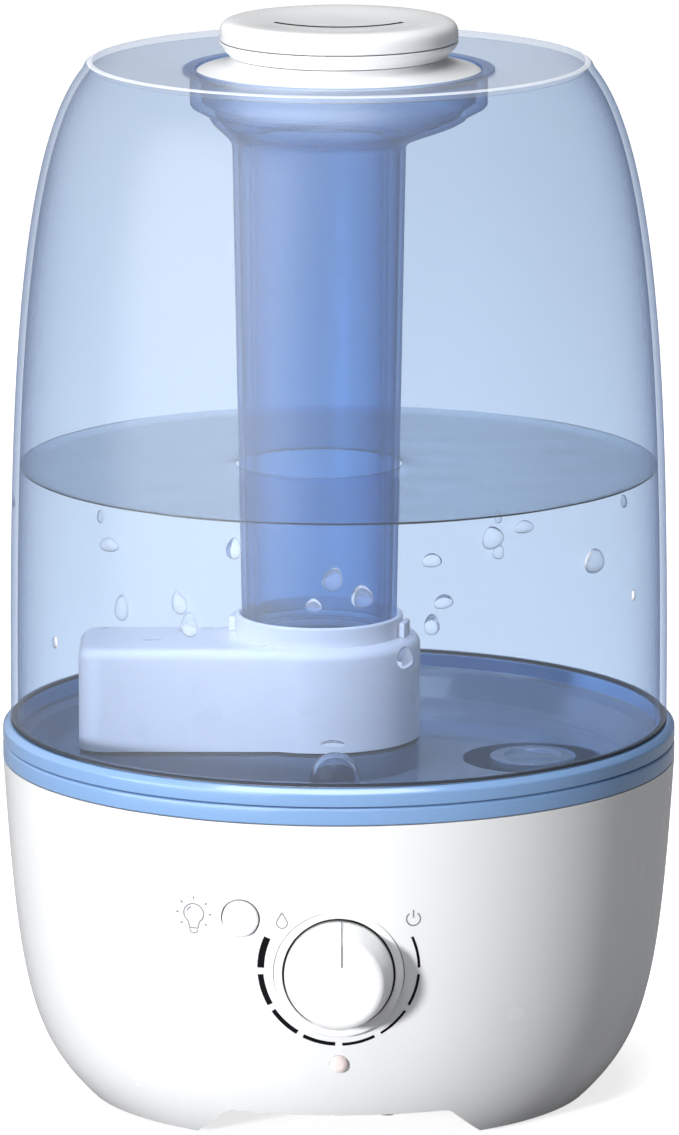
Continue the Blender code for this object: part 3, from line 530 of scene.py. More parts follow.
def prism(name, outline, bottom, top, look, centre=(0.0, 0.0)):
    """A flat outline of (x, y) points, extruded from bottom to top."""
    shape = bmesh.new()
    base = shape.faces.new([shape.verts.new((x * MM, y * MM, bottom * MM)) for x, y in outline])
    raised = bmesh.ops.extrude_face_region(shape, geom=[base])["geom"]
    moved = [item for item in raised if isinstance(item, bmesh.types.BMVert)]
    bmesh.ops.translate(shape, verts=moved, vec=(0, 0, (top - bottom) * MM))
    return linked(name, shape, look, (*centre, 0.0))


def lofted(name, rings, look):
    """A tube wall through rings of (x, y, height, radius), its last ring joined back to its first."""
    shape = bmesh.new()
    loops = []
    for x, y, height, radius in rings:
        spokes = [polar(math.tau * step / MEDIUM) * radius for step in range(MEDIUM)]
        loops.append([shape.verts.new(Vector((x + s.x, y + s.y, height)) * MM) for s in spokes])
    skin(shape, loops + loops[:1])
    return linked(name, shape, look)


def column(centre, radius, bottom, top, steps=SMALL):
    """An upright cylinder, to be joined or cut."""
    outline = [(0, bottom), (radius, bottom), (radius, top), (0, top)]
    return turned("tool", outline, satin, centre, steps)


def settle(piece):
    """Applies a piece's modifiers to its mesh."""
    graph = bpy.context.evaluated_depsgraph_get()
    mesh = bpy.data.meshes.new_from_object(piece.evaluated_get(graph))
    piece.modifiers.clear()
    piece.data = mesh


def combine(piece, other, operation):
    """A Boolean with another object, which it uses up."""
    change = piece.modifiers.new("combine", "BOOLEAN")
    change.operation = operation
    change.solver = "EXACT"
    change.object = other
    settle(piece)
    bpy.data.objects.remove(other)
    shaded(piece)


def cut(piece, *others):
    for other in others:
        combine(piece, other, "DIFFERENCE")


def join(piece, *others):
    for other in others:
        combine(piece, other, "UNION")


def round_the_top(piece, height, radius, segments):
    """Rounds the edges of a prism's top face, before any Boolean."""
    shape = bmesh.new()
    shape.from_mesh(piece.data)
    top = [edge for edge in shape.edges if all(abs(v.co.z - height * MM) < LEVEL for v in edge.verts)]
    bmesh.ops.bevel(shape, geom=top, offset=radius * MM, segments=segments, profile=0.5, affect="EDGES")
    shape.to_mesh(piece.data)
    shape.free()
    shaded(piece)


def upright_bake(piece):
    """Moves an object's place and turn into its mesh."""
    bpy.context.view_layer.update()
    piece.data.transform(piece.matrix_world)
    piece.matrix_world = Matrix.Identity(4)
    bpy.context.view_layer.update()


def facing(piece, towards, x, z):
    """Tips an upright piece so that its +Z points along towards x world Y, at this x and height."""
    piece.rotation_euler = (math.radians(-90 * towards), 0, 0)
    piece.location = Vector((x, 0, z)) * MM
    upright_bake(piece)
    return piece


def second_look(piece, look, chosen):
    """Gives another material to the faces chosen by their centre, in millimetres, and their normal."""
    piece.data.materials.append(look)
    slot = len(piece.data.materials) - 1
    for face in piece.data.polygons:
        if chosen(face.center / MM, face.normal):
            face.material_index = slot


def looks_inwards(centre_x, normal, place):
    """Whether a face of a round wall is on its inner side."""
    return normal.x * (place.x - centre_x) + normal.y * place.y < 0


def belongs(piece, body):
    """Moves a finished piece from the centre line's frame into the object's, to ride on this body."""
    piece.location.y += AXIS_Y * MM
    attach(piece, body)


def stands_for(piece, slot, *nodes):
    """The piece takes the place of these CAD nodes and rides on their body."""
    belongs(piece, frame["nodes"][nodes[0]]["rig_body"])
    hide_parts(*nodes)


def across(point):
    """Distance of a point from the object's axis."""
    return math.hypot(point.x, point.y)


# ---- base


def base_outer():
    """The base's outer side, from its top to its bottom rim."""
    return curve((RADIUS, BASE_TOP), (91.1, 30.9), (87.7, 17.0), (71.5, BASE_BOTTOM), SIDE_POINTS)


BASE_SIDE = list(reversed(base_outer()))


def base_radius(height):
    """The base's outer radius at this height."""
    for (low_r, low_z), (high_r, high_z) in zip(BASE_SIDE, BASE_SIDE[1:]):
        if height <= high_z:
            return low_r + (high_r - low_r) * (height - low_z) / (high_z - low_z)
    return RADIUS


def make_base_shell():
    ledge_r, ledge_low, ledge_high = 61.0, 11.9, 13.9
    outer = base_outer()
    inner = [(base_radius(z) - BASE_WALL, z) for z in (BASE_BOTTOM, 3.5, 6.0, 9.0, ledge_low)]
    inner += [(ledge_r, ledge_low), (ledge_r, ledge_high)]
    inner += [(base_radius(z) - BASE_WALL, z) for z in (ledge_high, 18, 24, 36, 60, BASE_TOP)]
    shell = turned("base_body", outer + inner, white, steps=FINE)

    foot, crown, arch_low, arch_high, arch_fillet = 44.0, 30.8, -4.0, 10.6, 3.5
    corners = [(-foot, arch_low), (foot, arch_low)]
    corners += [(crown, arch_high, arch_fillet), (-crown, arch_high, arch_fillet)]
    arches = prism("tool", rounded(corners), -RADIUS, RADIUS, white)
    arches.rotation_euler = (math.radians(90), 0, 0)
    cut(shell, arches)

    # Each opening: its x, height and radius, the front (-1) or the back (1), and its number of sides.
    openings = [
        (0.0, KNOB_Z, 18.1, -1, MEDIUM),
        (BUTTON_X, BUTTON_Z, 5.4, -1, SMALL),
        (0.0, LENS_Z, 2.6, -1, SMALL),
        (0.0, JACK_Z, 5.8, 1, SMALL),
    ]
    inside, outside = 70.0, 110.0
    for x, z, radius, towards, steps in openings:
        cut(shell, facing(column((0, 0), radius, inside, outside, steps), towards, x, z))
    stands_for(shell, "gloss_white", "base_shell")


def make_tray():
    """The water tray with its mist chimney and its two posts, for the valve and the float."""
    floor, under = 78.0, TRAY_LOW.z
    low, high = 96.3, TRAY_HIGH.z
    corners = [(0, floor), (84.0, floor, 2.0), (88.4, floor + 6.0, 4.0)]
    corners += [(88.6, 95.0, 2.0), (92.4, 99.0, 1.0), (92.4, high, 0.6), (RADIUS, high, 1.0)]
    corners += [(RADIUS, low, 0.25), (90.6, low, 0.3), (90.3, floor + 5.5, 4.0)]
    corners += [(84.6, under, 2.0), (0, under)]
    tray = turned("tray_body", rounded(corners), band, steps=FINE)
    root = under + 0.5
    chimney = column(CHIMNEY, 11.0, root, 97.0)
    valve_post = column(VALVE_CENTRE, 3.0, root, 80.0)
    float_post = column(DOME_CENTRE, 2.9, root, 90.0)
    join(tray, chimney, valve_post, float_post)
    below, above = 60.0, 110.0
    chimney_bore = column(CHIMNEY, 9.5, below, above)
    mist_hole = column((DUCT_X, 0), 8.6, below, above)
    cut(tray, chimney_bore, mist_hole)
    stands_for(tray, "band_blue", "water_tray")


def make_knob():
    """The knob, the ring that it sits in and the marker line on its face."""
    face, back = -KNOB_LOW.y, -KNOB_HIGH.y
    rim = (KNOB_HIGH.x - KNOB_LOW.x) / 2
    hub_r, hub_depth, shaft_r, shaft_depth = 7.5, 93.4, 3.3, 101.5
    corners = [(hub_r, back), (rim, back, 0.3), (rim, back + 3.5, 4.0), (12.6, face, 2.6), (0, face)]
    corners += [(0, shaft_depth), (shaft_r, shaft_depth), (shaft_r, hub_depth), (hub_r, hub_depth)]
    skirt = rounded(corners)
    knob = facing(turned("knob_body", skirt, white), -1, 0, KNOB_Z)
    stands_for(knob, "gloss_white", "mist_knob")

    ring_r = (BEZEL_HIGH.x - BEZEL_LOW.x) / 2
    lip, well_r, well_depth, ring_back = -BEZEL_LOW.y, 15.6, 89.6, 86.2
    corners = [(4.6, ring_back), (ring_r, ring_back), (ring_r, lip, 0.5), (well_r, lip, 0.3)]
    corners += [(well_r, well_depth), (4.6, well_depth)]
    ring = facing(turned("knob_ring", rounded(corners), white), -1, 0, KNOB_Z)
    # The well between the ring and the knob is painted black: painted shade where the knob shadows the gap.
    painted_shade_r, painted_shade_from = well_r + 0.05, 0.3 - lip
    second_look(ring, black, lambda p, n: math.hypot(p.x, p.z - KNOB_Z) < painted_shade_r and p.y > painted_shade_from)
    stands_for(ring, "gloss_white", "knob_bezel")

    # The marker runs from the knob's back edge over its top side and down its face towards the middle.
    sunk, proud, half_width, lowest = 0.03, 0.2, 0.2, 5.2
    path = [point for point in skirt[: skirt.index((0, face))] if point[1] > back + 1.0]
    path.append((lowest, face))
    line = offset(path, -sunk) + list(reversed(offset(path, proud)))
    marker = prism("knob_marker", line, MARKER_X - half_width, MARKER_X + half_width, grey_ink)
    marker.matrix_world = Matrix(((0, 0, 1, 0), (0, -1, 0, 0), (1, 0, 0, KNOB_Z * MM), (0, 0, 0, 1)))
    upright_bake(marker)
    belongs(marker, "knob")


def make_front_buttons():
    """The light button's cap and the round lens under the knob."""
    front = -BUTTON_LOW.y
    corners = [(0, 78), (2, 78), (2, 82), (6.2, 82), (6.2, 83.4), (5, 83.4), (5, front - 0.5, 0.9)]
    corners += [(3.2, front, 4.0), (0, front)]
    button = facing(turned("button_cap", rounded(corners), white, steps=SMALL), -1, BUTTON_X, BUTTON_Z)
    stands_for(button, "gloss_white", "light_button")
    front = -LENS_LOW.y
    corners = [(0, 80.5), (2.5, 80.5), (2.5, front - 0.9, 0.8), (1.4, front, 1.2), (0, front)]
    window = facing(turned("lens_dome", rounded(corners), lens, steps=SMALL), -1, 0, LENS_Z)
    stands_for(window, "frosted_clear", "indicator_lens")


def make_jack():
    corners = [(0, 66), (8, 66, 0.5), (8, 80.5, 0.3), (5.5, 80.5), (5.5, 89.2, 0.6), (3.2, 89.2, 0.4)]
    corners += [(3.2, 76), (0, 76)]
    jack = facing(turned("jack_body", rounded(corners), black, steps=SMALL), 1, 0, JACK_Z)
    stands_for(jack, "black_plastic", "power_jack")
    corners = [(0, 75.9), (0.9, 75.9), (0.9, 86.6, 0.5), (0.2, 87.0), (0, 87.0)]
    pin = facing(turned("jack_pin", rounded(corners), steel, steps=TINY), 1, 0, JACK_Z)
    belongs(pin, "base")


def on_base(x, z, proud):
    """The point on the front of the base at this x and height, moved out by proud."""
    radius = base_radius(z) + proud
    return Vector((x, -math.sqrt(radius * radius - x * x), z)) * MM


def ribbon(shape, path, width):
    """A flat line along (x, z) points on the base, as a closed strip a little proud of the surface."""
    ink_top, ink_foot = 0.06, 0.01
    rows = []
    for index, (x, z) in enumerate(path):
        before = path[max(index - 1, 0)]
        after = path[min(index + 1, len(path) - 1)]
        along = Vector((after[0] - before[0], after[1] - before[1])).normalized()
        side = Vector((-along.y, along.x)) * width / 2
        corners = [(x + side.x, z + side.y), (x - side.x, z - side.y)]
        outer = [shape.verts.new(on_base(*corner, ink_top)) for corner in corners]
        inner = [shape.verts.new(on_base(*corner, ink_foot)) for corner in corners]
        rows.append((outer[0], outer[1], inner[1], inner[0]))
    closed_skin(shape, rows)


def printed(name, lines, look):
    """Lines of ink on the base, each given by its points and its width."""
    shape = bmesh.new()
    for path, width in lines:
        ribbon(shape, path, width)
    marks = linked(name, shape, look)
    belongs(marks, "base")


def stroke(centre, *points):
    """A line through points that are measured from centre."""
    return [(centre[0] + x, centre[1] + y) for x, y in points]


def dial_scale():
    """The dashes round the dial, which thin out clockwise."""
    scale_r, points = 22.4, 14
    widths = (1.9, 1.6, 1.3, 1.1, 0.88, 0.7, 0.74, 0.74)
    first, last, space = 153.5, 386.5, 5.0
    step = (last - first) / len(widths)
    lines = []
    for number, width in enumerate(widths):
        start = first + step * number + space / 2
        path = arc((0, SCALE_Z), scale_r - width / 2, start, start + step - space, points)
        lines.append((path, width))
    return lines


def bulb_symbol(bulb, thin):
    """A light bulb with rays."""
    lines = [
        (arc(bulb, 2.75, -55, 235, 22), thin),
        (stroke(bulb, (-1.58, -2.25), (-1.15, -4.1)), thin),
        (stroke(bulb, (1.58, -2.25), (1.15, -4.1)), thin),
        (stroke(bulb, (-1.25, -4.2), (1.25, -4.2)), thin),
        (arc((bulb[0], bulb[1] - 4.6), 1.1, 180, 360, 8), thin),
        (arc(bulb, 1.9, 110, 165, 6), thin),
    ]
    ray_start, ray_end = 4.1, 4.9
    for angle in (-42, 0, 42, 90, 138, 180, 222):
        ray = polar(math.radians(angle))
        lines.append((stroke(bulb, ray * ray_start, ray * ray_end), thin * 1.3))
    return lines


def drop_symbol(drop, thin):
    """A water drop with its point up."""
    return [
        (arc(drop, 1.5, -215, 35, 18), thin),
        (stroke(drop, (-1.23, 0.86), (0.0, 3.0)), thin),
        (stroke(drop, (1.23, 0.86), (0.0, 3.0)), thin),
    ]


def power_symbol(power, thin):
    """An open ring with a line through its gap."""
    return [
        (arc(power, 1.9, -235, 55, 20), thin * 1.2),
        (stroke(power, (0.0, 0.3), (0.0, 2.6)), thin * 1.2),
    ]


def make_printed_marks():
    """The dial's scale and three plain symbols."""
    thin = 0.32
    printed("dial_scale", dial_scale(), ink)
    symbols = bulb_symbol((-39.9, 69.2), thin) + drop_symbol((-15.6, 68.2), thin)
    symbols += power_symbol((20.5, 69.2), thin)
    printed("plain_symbols", symbols, grey_ink)


# ---- tank


def keyhole(inset):
    """The mist duct's outline seen from above, moved inwards by inset."""
    round_points, corner_points = 64, 10
    radius = DUCT_R - inset
    front, back, left = DUCT_FRONT + inset, DUCT_BACK - inset, DUCT_LEFT + inset
    corner = DUCT_CORNER - inset
    first = -180 + math.degrees(math.asin(-front / radius))
    last = 180 - math.degrees(math.asin(back / radius))
    outline = arc((DUCT_X, 0), radius, first, last, round_points)
    outline += arc((left + corner, back - corner), corner, 90, 180, corner_points)
    outline += arc((left + corner, front + corner), corner, 180, 270, corner_points)
    return outline


def make_tank_floor():
    """The basin, with the valve's well, the mist duct's island and the band on its rim."""
    under, duct_wall = TANK_FLOOR - 1.9, 2.2
    rim, skirt = 106.3, 101.4
    corners = [(0, TANK_FLOOR), (81.8, TANK_FLOOR, 3.0), (84.0, 94.9, 1.5), (87.6, 100.2, 0.8)]
    corners += [(90.2, 101.3, 0.8), (90.8, 102.6, 0.8), (90.8, rim, 0.3), (93.4, rim, 0.9)]
    corners += [(RADIUS, 104.9, 0.9), (RADIUS, skirt, 0.25), (91.2, skirt), (89.6, 99.4, 1.0)]
    corners += [(85.6, 92.8, 1.0), (84.2, under), (0, under)]
    floor = turned("tank_base", rounded(corners), basin, steps=FINE)
    well = column(VALVE_CENTRE, 22.0, 81.8, TANK_FLOOR - 0.4, MEDIUM)
    island = prism("tool", keyhole(0), TANK_FLOOR - 1.4, 100.6, basin)
    join(floor, well, island)
    duct = prism("tool", keyhole(duct_wall), 80.0, 110.0, basin)
    well_inside = column(VALVE_CENTRE, 20.0, 84.0, 99.0, MEDIUM)
    valve_bore = column(VALVE_CENTRE, 6.0, 70.0, 86.0)
    float_bore = column(DOME_CENTRE, 5.4, 85.0, 99.0)
    cut(floor, duct, well_inside, valve_bore, float_bore)
    band_r, band_low = 90.6, skirt - 0.2
    second_look(floor, band, lambda p, n: across(p) > band_r and p.z > band_low)
    stands_for(floor, "floor_blue", "tank_floor")

    low, high = SEAM_LOW.z, SEAM_HIGH.z
    corners = [(91.1, low), (92.7, low, 0.15), (92.7, high, 0.15), (91.1, high)]
    seam = turned("tank_seal", rounded(corners), rubber, steps=FINE)
    stands_for(seam, "rubber", "tank_gasket")


def tank_outer():
    """The tank's outer side, from its mouth over the shoulder and down to its bottom edge."""
    shoulder_r, fillet = 68.9, 2.6
    shoulder = arc((shoulder_r, TANK_HIGH.z - fillet), fillet, 90, 40, 7)
    wall = curve((71.9, 290.9), (89.8, 269.0), (92.9, 197.5), (92.7, TANK_LOW.z), SIDE_POINTS)
    return [(MOUTH_R, MOUTH_Z)] + shoulder + wall


def make_tank():
    outer = tank_outer()
    inner = list(reversed(offset(outer, TANK_WALL)))
    inner[0] = (90.7, TANK_LOW.z)
    recess = MOUTH_Z - 1.2
    seat = [(42.2, MOUTH_Z - TANK_WALL), (42.2, recess), (MOUTH_R, recess)]
    tank = turned("tank_wall", outer + inner[:-1] + seat, tank_clear, steps=FINE)
    top_low, top_r = MOUTH_Z - 3.0, 69.5
    rim_low, rim_inside, rim_outside = TANK_HIGH.z - 1.0, 68.8, 70.4
    second_look(tank, tank_inside_clear, lambda p, n: looks_inwards(0, n, p))
    # The top face gets the lighter tint, as painted light.
    second_look(tank, tank_top_painted_light, lambda p, n: p.z > top_low and across(p) < top_r)
    # The band on the shoulder's edge gets the whiter rim material, as a painted highlight.
    second_look(tank, tank_rim_painted_highlight, lambda p, n: p.z > rim_low and rim_inside < across(p) < rim_outside)
    stands_for(tank, "clear_blue", "tank_shell", "tank_mouth")


def make_housing():
    """The pale housing over the mist duct, with its collar and two lugs."""
    wall = 2.0
    housing = prism("mist_duct", keyhole(0), HOUSING_LOW.z, HOUSING_TOP, pale)
    round_the_top(housing, HOUSING_TOP, 3.2, 6)
    cut(housing, prism("tool", keyhole(wall), 95.0, HOUSING_TOP - wall, pale))
    root, bore_r, collar_in, collar_out = 129.5, 15.0, 22.3, 23.6
    ledge, top = HOUSING_TOP + 0.4, HOUSING_HIGH.z
    corners = [(bore_r, root), (collar_out, root), (collar_out, top, 0.7)]
    corners += [(collar_in, top, 0.3), (collar_in, ledge), (bore_r, ledge)]
    join(housing, turned("tool", rounded(corners), pale, (DUCT_X, 0)))
    cut(housing, column((DUCT_X, 0), 19.3, 110, 140, MEDIUM))
    stands_for(housing, "pale_blue", "mist_housing")

    lug_in, lug_out, half_sweep, lug_top = 23.75, 25.6, 9, HOUSING_TOP + 4.2
    for number, angle in enumerate((-12, 168), 1):
        path = arc((DUCT_X, 0), lug_out, angle - half_sweep, angle + half_sweep, 6)
        path += arc((DUCT_X, 0), lug_in, angle + half_sweep, angle - half_sweep, 6)
        lug = prism(f"duct_lug_{number}", path, HOUSING_TOP + 0.1, lug_top, pale)
        round_the_top(lug, lug_top, 0.5, 3)
        belongs(lug, "tank")


def make_tank_fittings():
    """The dome over the float, and the valve's cap with its four windows."""
    low = DOME_LOW.z
    top_outside, top_inside = 108.2, 106.8
    outer = [(0, top_outside)]
    outer += curve((0.4, top_outside), (4.6, 107.9), (6.6, 104.5), (7.0, 101.0), 10)
    inner = [(7.8, low), (6.6, low), (5.9, 101.0)]
    inner += curve((5.8, 101.6), (5.4, 104.4), (3.4, 106.6), (0.4, top_inside), 8)
    dome = turned("float_cover", outer + inner + [(0, top_inside)], dome_clear, DOME_CENTRE, SMALL)
    stands_for(dome, "floor_blue", "float_dome")

    low, high = VALVE_LOW.z, VALVE_HIGH.z
    dish = high - 0.8
    corners = [(0, dish), (7.5, dish, 0.4), (8.3, high, 0.4), (12.3, high, 0.7), (12.3, low)]
    corners += [(11.1, low), (11.1, 92.6), (0, 92.6)]
    cap = turned("filler_cap", rounded(corners), basin, VALVE_CENTRE, MEDIUM)
    bar = [(-15, -3), (15, -3), (15, 3), (-15, 3)]
    for angle in (0, 90):
        window = prism("tool", bar, 86.0, 90.5, basin, VALVE_CENTRE)
        window.rotation_euler = (0, 0, math.radians(angle))
        cut(cap, window)
    stands_for(cap, "floor_blue", "valve_cap")


def make_valve_spring():
    """The valve's coil spring, on the body of its CAD node."""
    wire_r, turns, steps, sides = 0.4, 3, 24, 8
    coil_r = (SPRING_HIGH.x - SPRING_LOW.x) / 2 - wire_r
    low, high = SPRING_LOW.z + wire_r, SPRING_HIGH.z - wire_r
    shape = bmesh.new()
    rows = []
    for step in range(turns * steps + 1):
        outwards = polar(math.tau * step / steps).to_3d()
        height = low + (high - low) * step / (turns * steps)
        centre = Vector((*VALVE_CENTRE, height)) + outwards * coil_r
        row = []
        for side in range(sides):
            out, up = polar(math.tau * side / sides) * wire_r
            row.append(shape.verts.new((centre + outwards * out + Vector((0, 0, up))) * MM))
        rows.append(row)
    closed_skin(shape, rows)
    spring = linked("spring_coil", shape, steel)
    stands_for(spring, "steel", "valve_spring")
    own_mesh(spring)


def make_water():
    """The water's surface as a thin body that climbs a little at the tank's wall and round the tube."""
    wall_gap, film, tube_r = 0.35, 0.4, 23.4
    climb_height, climb_rate = 0.9, 40
    ripple_height, ripple_scale, ripple_stretch = 0.14, 0.04, 1.6
    near_surface = [r - TANK_WALL for r, z in tank_outer() if abs(z - WATER_LEVEL) < 4]
    reach = max(near_surface) - wall_gap
    rings, steps = 26, 128
    shape = bmesh.new()
    upper, lower = [], []
    for ring in range(rings + 1):
        share = ring / rings
        climb = climb_height * (math.exp(-share * climb_rate) + math.exp((share - 1) * climb_rate))
        places = []
        for step in range(steps):
            unit = polar(math.tau * step / steps)
            place = (Vector((DUCT_X, 0)) + unit * tube_r).lerp(unit * reach, share)
            spot = Vector((place.x, place.y * ripple_stretch, 3.0)) * ripple_scale
            ripple = hash_noise.noise(spot) * ripple_height
            places.append(Vector((*place, WATER_LEVEL + climb + ripple)))
        upper.append([shape.verts.new(place * MM) for place in places])
        lower.append([shape.verts.new((place - Vector((0, 0, film))) * MM) for place in places])
    skin(shape, upper + lower[::-1] + upper[:1])
    water = linked("water_surface", shape, water_clear)
    water.visible_shadow = False
    belongs(water, "tank")


# Each drop on the tank's wall: degrees from the front, height, half width, half height, lean in degrees.
DROPS = (
    (-43.2, 169.1, 3.6, 2.0, 5),
    (-18.1, 172.1, 2.1, 3.1, -8),
    (-40.1, 152.2, 2.4, 3.8, -6),
    (-28.2, 155.8, 2.3, 3.4, 14),
    (-26.2, 149.9, 2.6, 3.5, 0),
    (-1.0, 164.4, 2.6, 3.4, -20),
    (3.9, 159.6, 3.0, 3.3, 8),
    (-4.3, 157.1, 2.2, 2.0, 0),
    (16.0, 169.0, 2.8, 2.0, 0),
    (27.1, 174.0, 3.3, 3.2, 20),
    (28.3, 169.8, 1.8, 2.0, -20),
    (33.4, 176.0, 3.1, 1.8, 0),
    (49.7, 163.1, 3.9, 3.5, 0),
    (18.0, 157.4, 2.8, 2.0, 10),
    (15.9, 151.2, 2.2, 3.0, 0),
    (11.2, 142.3, 2.2, 3.2, 0),
    (-1.0, 118.7, 3.4, 1.1, 0),
    (62.0, 150.0, 1.1, 1.6, 0),
    (-58.0, 138.0, 1.2, 1.8, 0),
    (118.0, 160.0, 1.6, 1.9, 0),
    (150.0, 148.0, 1.2, 1.6, 8),
    (-96.0, 166.0, 1.5, 1.2, 0),
    (-132.0, 152.0, 1.3, 2.0, -6),
    (186.0, 171.0, 1.7, 1.3, 0),
)


def make_drops():
    """Water drops on the outside of the tank, each a low rounded lens with a fuller lower half."""
    steps, layers = 24, 7
    lift, fullness, thickness = 0.05, 0.22, 0.55
    side = sorted((z, r) for r, z in tank_outer())
    shape = bmesh.new()
    for degrees, height, half_width, half_height, lean in DROPS:
        wall = next(r for z, r in side if z >= height) + lift
        tilt = Matrix.Rotation(math.radians(lean), 2)
        rows = []
        for layer in range(layers):
            size, rise = polar(math.pi / 2 * layer / layers)
            row = []
            for step in range(steps):
                side_on, up = polar(math.tau * step / steps)
                fuller = 1.0 - fullness * up
                flat = tilt @ Vector((side_on * half_width * fuller, up * half_height)) * size
                around = math.radians(degrees) + flat.x / wall
                reach = wall + rise * min(half_width, half_height) * thickness
                spot = (math.sin(around) * reach, -math.cos(around) * reach, height + flat.y)
                row.append(shape.verts.new(Vector(spot) * MM))
            rows.append(row)
        closed_skin(shape, rows)
    drops = linked("water_drops", shape, drop_dark_rim_clear)
    drops.visible_shadow = False
    belongs(drops, "tank")


# ---- mist tube and nozzle


def eased(start, end):
    """Rings between two rings, with the radius and the shift eased, and the height even."""
    count = 8
    made = []
    for step in range(1, count):
        share = step / count
        soft = share * share * (3 - 2 * share)
        mixed = [a + (b - a) * soft for a, b in zip(start, end)]
        mixed[2] = start[2] + (end[2] - start[2]) * share
        made.append(tuple(mixed))
    return made


def make_tubes():
    """The mist tube, whose funnel leans from the tank's axis to the duct's, and the tube inside it."""
    top, lip_r, lip = TUBE_HIGH.z, TUBE_HIGH.x, 0.9
    cup_r, cup_wall = 41.6, 1.4
    x, low, neck_z = DUCT_X, TUBE_LOW.z, 274
    ledge, ledge_r = LID_LOW.z - 0.3, 38.4
    shoulder, neck = (0, 0, 278.6, 36.4), (x, 0, 269.5, 24.3)
    inner_neck, cup_floor = (x, 0, 269.9, 22.8), (0, 0, 280.0, 35.0)

    outside = [(0, 0, top, lip_r - 0.3), (0, 0, top - 0.3, lip_r), (0, 0, top - lip, lip_r)]
    outside += [(0, 0, top - lip, cup_r), (0, 0, 281.6, cup_r), (0, 0, 281.0, cup_r - 0.4)]
    outside += [(0, 0, 279.1, 37.6), shoulder, *eased(shoulder, neck), neck, (x, 0, low, 21.8)]
    inside = [(x, 0, low, 20.4), inner_neck, *eased(inner_neck, cup_floor), cup_floor]
    inside += [(0, 0, 282.4, ledge_r), (0, 0, ledge, ledge_r)]
    inside += [(0, 0, ledge, cup_r - cup_wall), (0, 0, top, cup_r - cup_wall)]
    tube = lofted("tube_wall", outside + inside, tube_clear)
    tube.visible_shadow = False
    second_look(tube, tube_inside_clear, lambda p, n: looks_inwards(x if p.z < neck_z else 0, n, p))
    stands_for(tube, "clear_blue", "mist_tube")

    low, high = INNER_LOW.z, INNER_HIGH.z
    corners = [(19.6, 271.0, 0.6), (23.4, 271.6), (23.4, high)]
    corners += [(18.2, high, 0.6), (17.4, low), (18.6, low)]
    inner = turned("inner_tube_wall", rounded(corners), inner_clear, (x, 0), MEDIUM)
    inner.visible_shadow = False
    stands_for(inner, "clear_blue", "inner_mist_tube")


def slot_edge(shift):
    """The front edge of the nozzle's mouth, moved back by shift: a shallow arc from left to right."""
    radius, front, half_width, points = 30.0, -9.4, 18.4, 32
    half = math.degrees(math.asin(half_width / radius))
    return arc((0, front + shift + radius), radius, -90 - half, -90 + half, points)


def make_nozzle():
    """The white lid in the funnel's mouth, the disc on it and the cap with the mist slot."""
    edge = curve((39.8, 290.9), (38.8, 291.8), (31.4, 292.2), (30.0, 294.9), 14)
    corners = [(20.4, 294.9, 0.4), (20.4, 302.8, 0.5), (18.6, 302.8, 0.5), (18.6, LID_LOW.z)]
    corners += [(39.8, LID_LOW.z, 0.3)]
    lid = turned("nozzle_base", edge + rounded(corners), white, steps=FINE)
    stands_for(lid, "gloss_white", "nozzle_lid")

    bore_r = 20.7
    low, high = RING_LOW.z, RING_HIGH.z
    side = curve((30.4, low), (31.0, 296.0), (32.8, 297.2), (33.4, high - 0.35), 10)
    disc = [(bore_r, low)] + side + [(33.1, high), (bore_r, high)]
    ring = turned("nozzle_disc", disc, white, steps=FINE)
    stands_for(ring, "gloss_white", "nozzle_ring")

    # The cap's top sinks a little towards its middle, and a crescent slot lets the mist out in front.
    slot_width, slot_shade_r, slot_shade_low = 2.9, 19.5, 302.7
    low, high = CAP_LOW.z, CAP_HIGH.z
    middle = high - 1.3
    top = curve((33.4, low + 1.2), (33.4, 303.6), (32.6, high), (28.6, high), 16)
    dish = curve((27.4, high), (21.0, high - 0.1), (17.0, middle), (0, middle), 26)
    corners = [(0, 302.6), (18.0, 302.6), (18.4, 303.2), (30.6, 303.2), (31.4, 301.6)]
    corners += [(31.4, low), (33.1, low)]
    cap = turned("nozzle_top", top + dish + corners + [(33.4, low + 0.35)], white, steps=FINE)
    crescent = slot_edge(0) + list(reversed(slot_edge(slot_width)))[1:-1]
    cut(cap, prism("tool", crescent, 300, 308, white))
    # The slot's upright walls get the black ink as painted shade, the dark of the gap in front of the cap's
    # top.
    second_look(
        cap,
        ink,
        lambda p, n: p.y < 0 and across(p) < slot_shade_r and p.z > slot_shade_low and abs(n.z) < 0.3,
    )
    stands_for(cap, "gloss_white", "nozzle_cap", "mist_deflector")


# ---- stage, light and camera


def bounced_ray(tree):
    """1 for a ray that left a matt or glossy surface, 0 for one from the eye or through clear plastic."""
    path = add(tree, "ShaderNodeLightPath")
    either = maths(tree, "MAXIMUM", path.outputs["Is Diffuse Ray"], path.outputs["Is Glossy Ray"])
    return maths(tree, "SUBTRACT", either, path.outputs["Is Transmission Ray"])


def make_stage():
    """A wide pale floor. It gives back less light to what stands on it than it shows, so shade stays."""
    half_size = 12.0
    seen_colour, lighting_colour = (0.86, 0.86, 0.87), (0.25, 0.25, 0.26)
    seen_glow, lighting_glow = 0.72, 0.06
    made, tree = blank("pale_floor")
    bounced = bounced_ray(tree)
    colour = blended(tree, bounced, seen_colour, lighting_colour)
    diffuse = add(tree, "ShaderNodeBsdfDiffuse", Color=colour)
    strength = ramp(tree, bounced, seen_glow, lighting_glow)
    glow = add(tree, "ShaderNodeEmission", Color=rgba((1, 1, 1)), Strength=strength)
    both = add(tree, "ShaderNodeAddShader")
    tree.links.new(diffuse.outputs[0], both.inputs[0])
    tree.links.new(glow.outputs[0], both.inputs[1])
    finish_material(tree, both)
    shape = bmesh.new()
    bmesh.ops.create_grid(shape, x_segments=2, y_segments=2, size=half_size)
    floor = linked("studio_floor", shape, made)


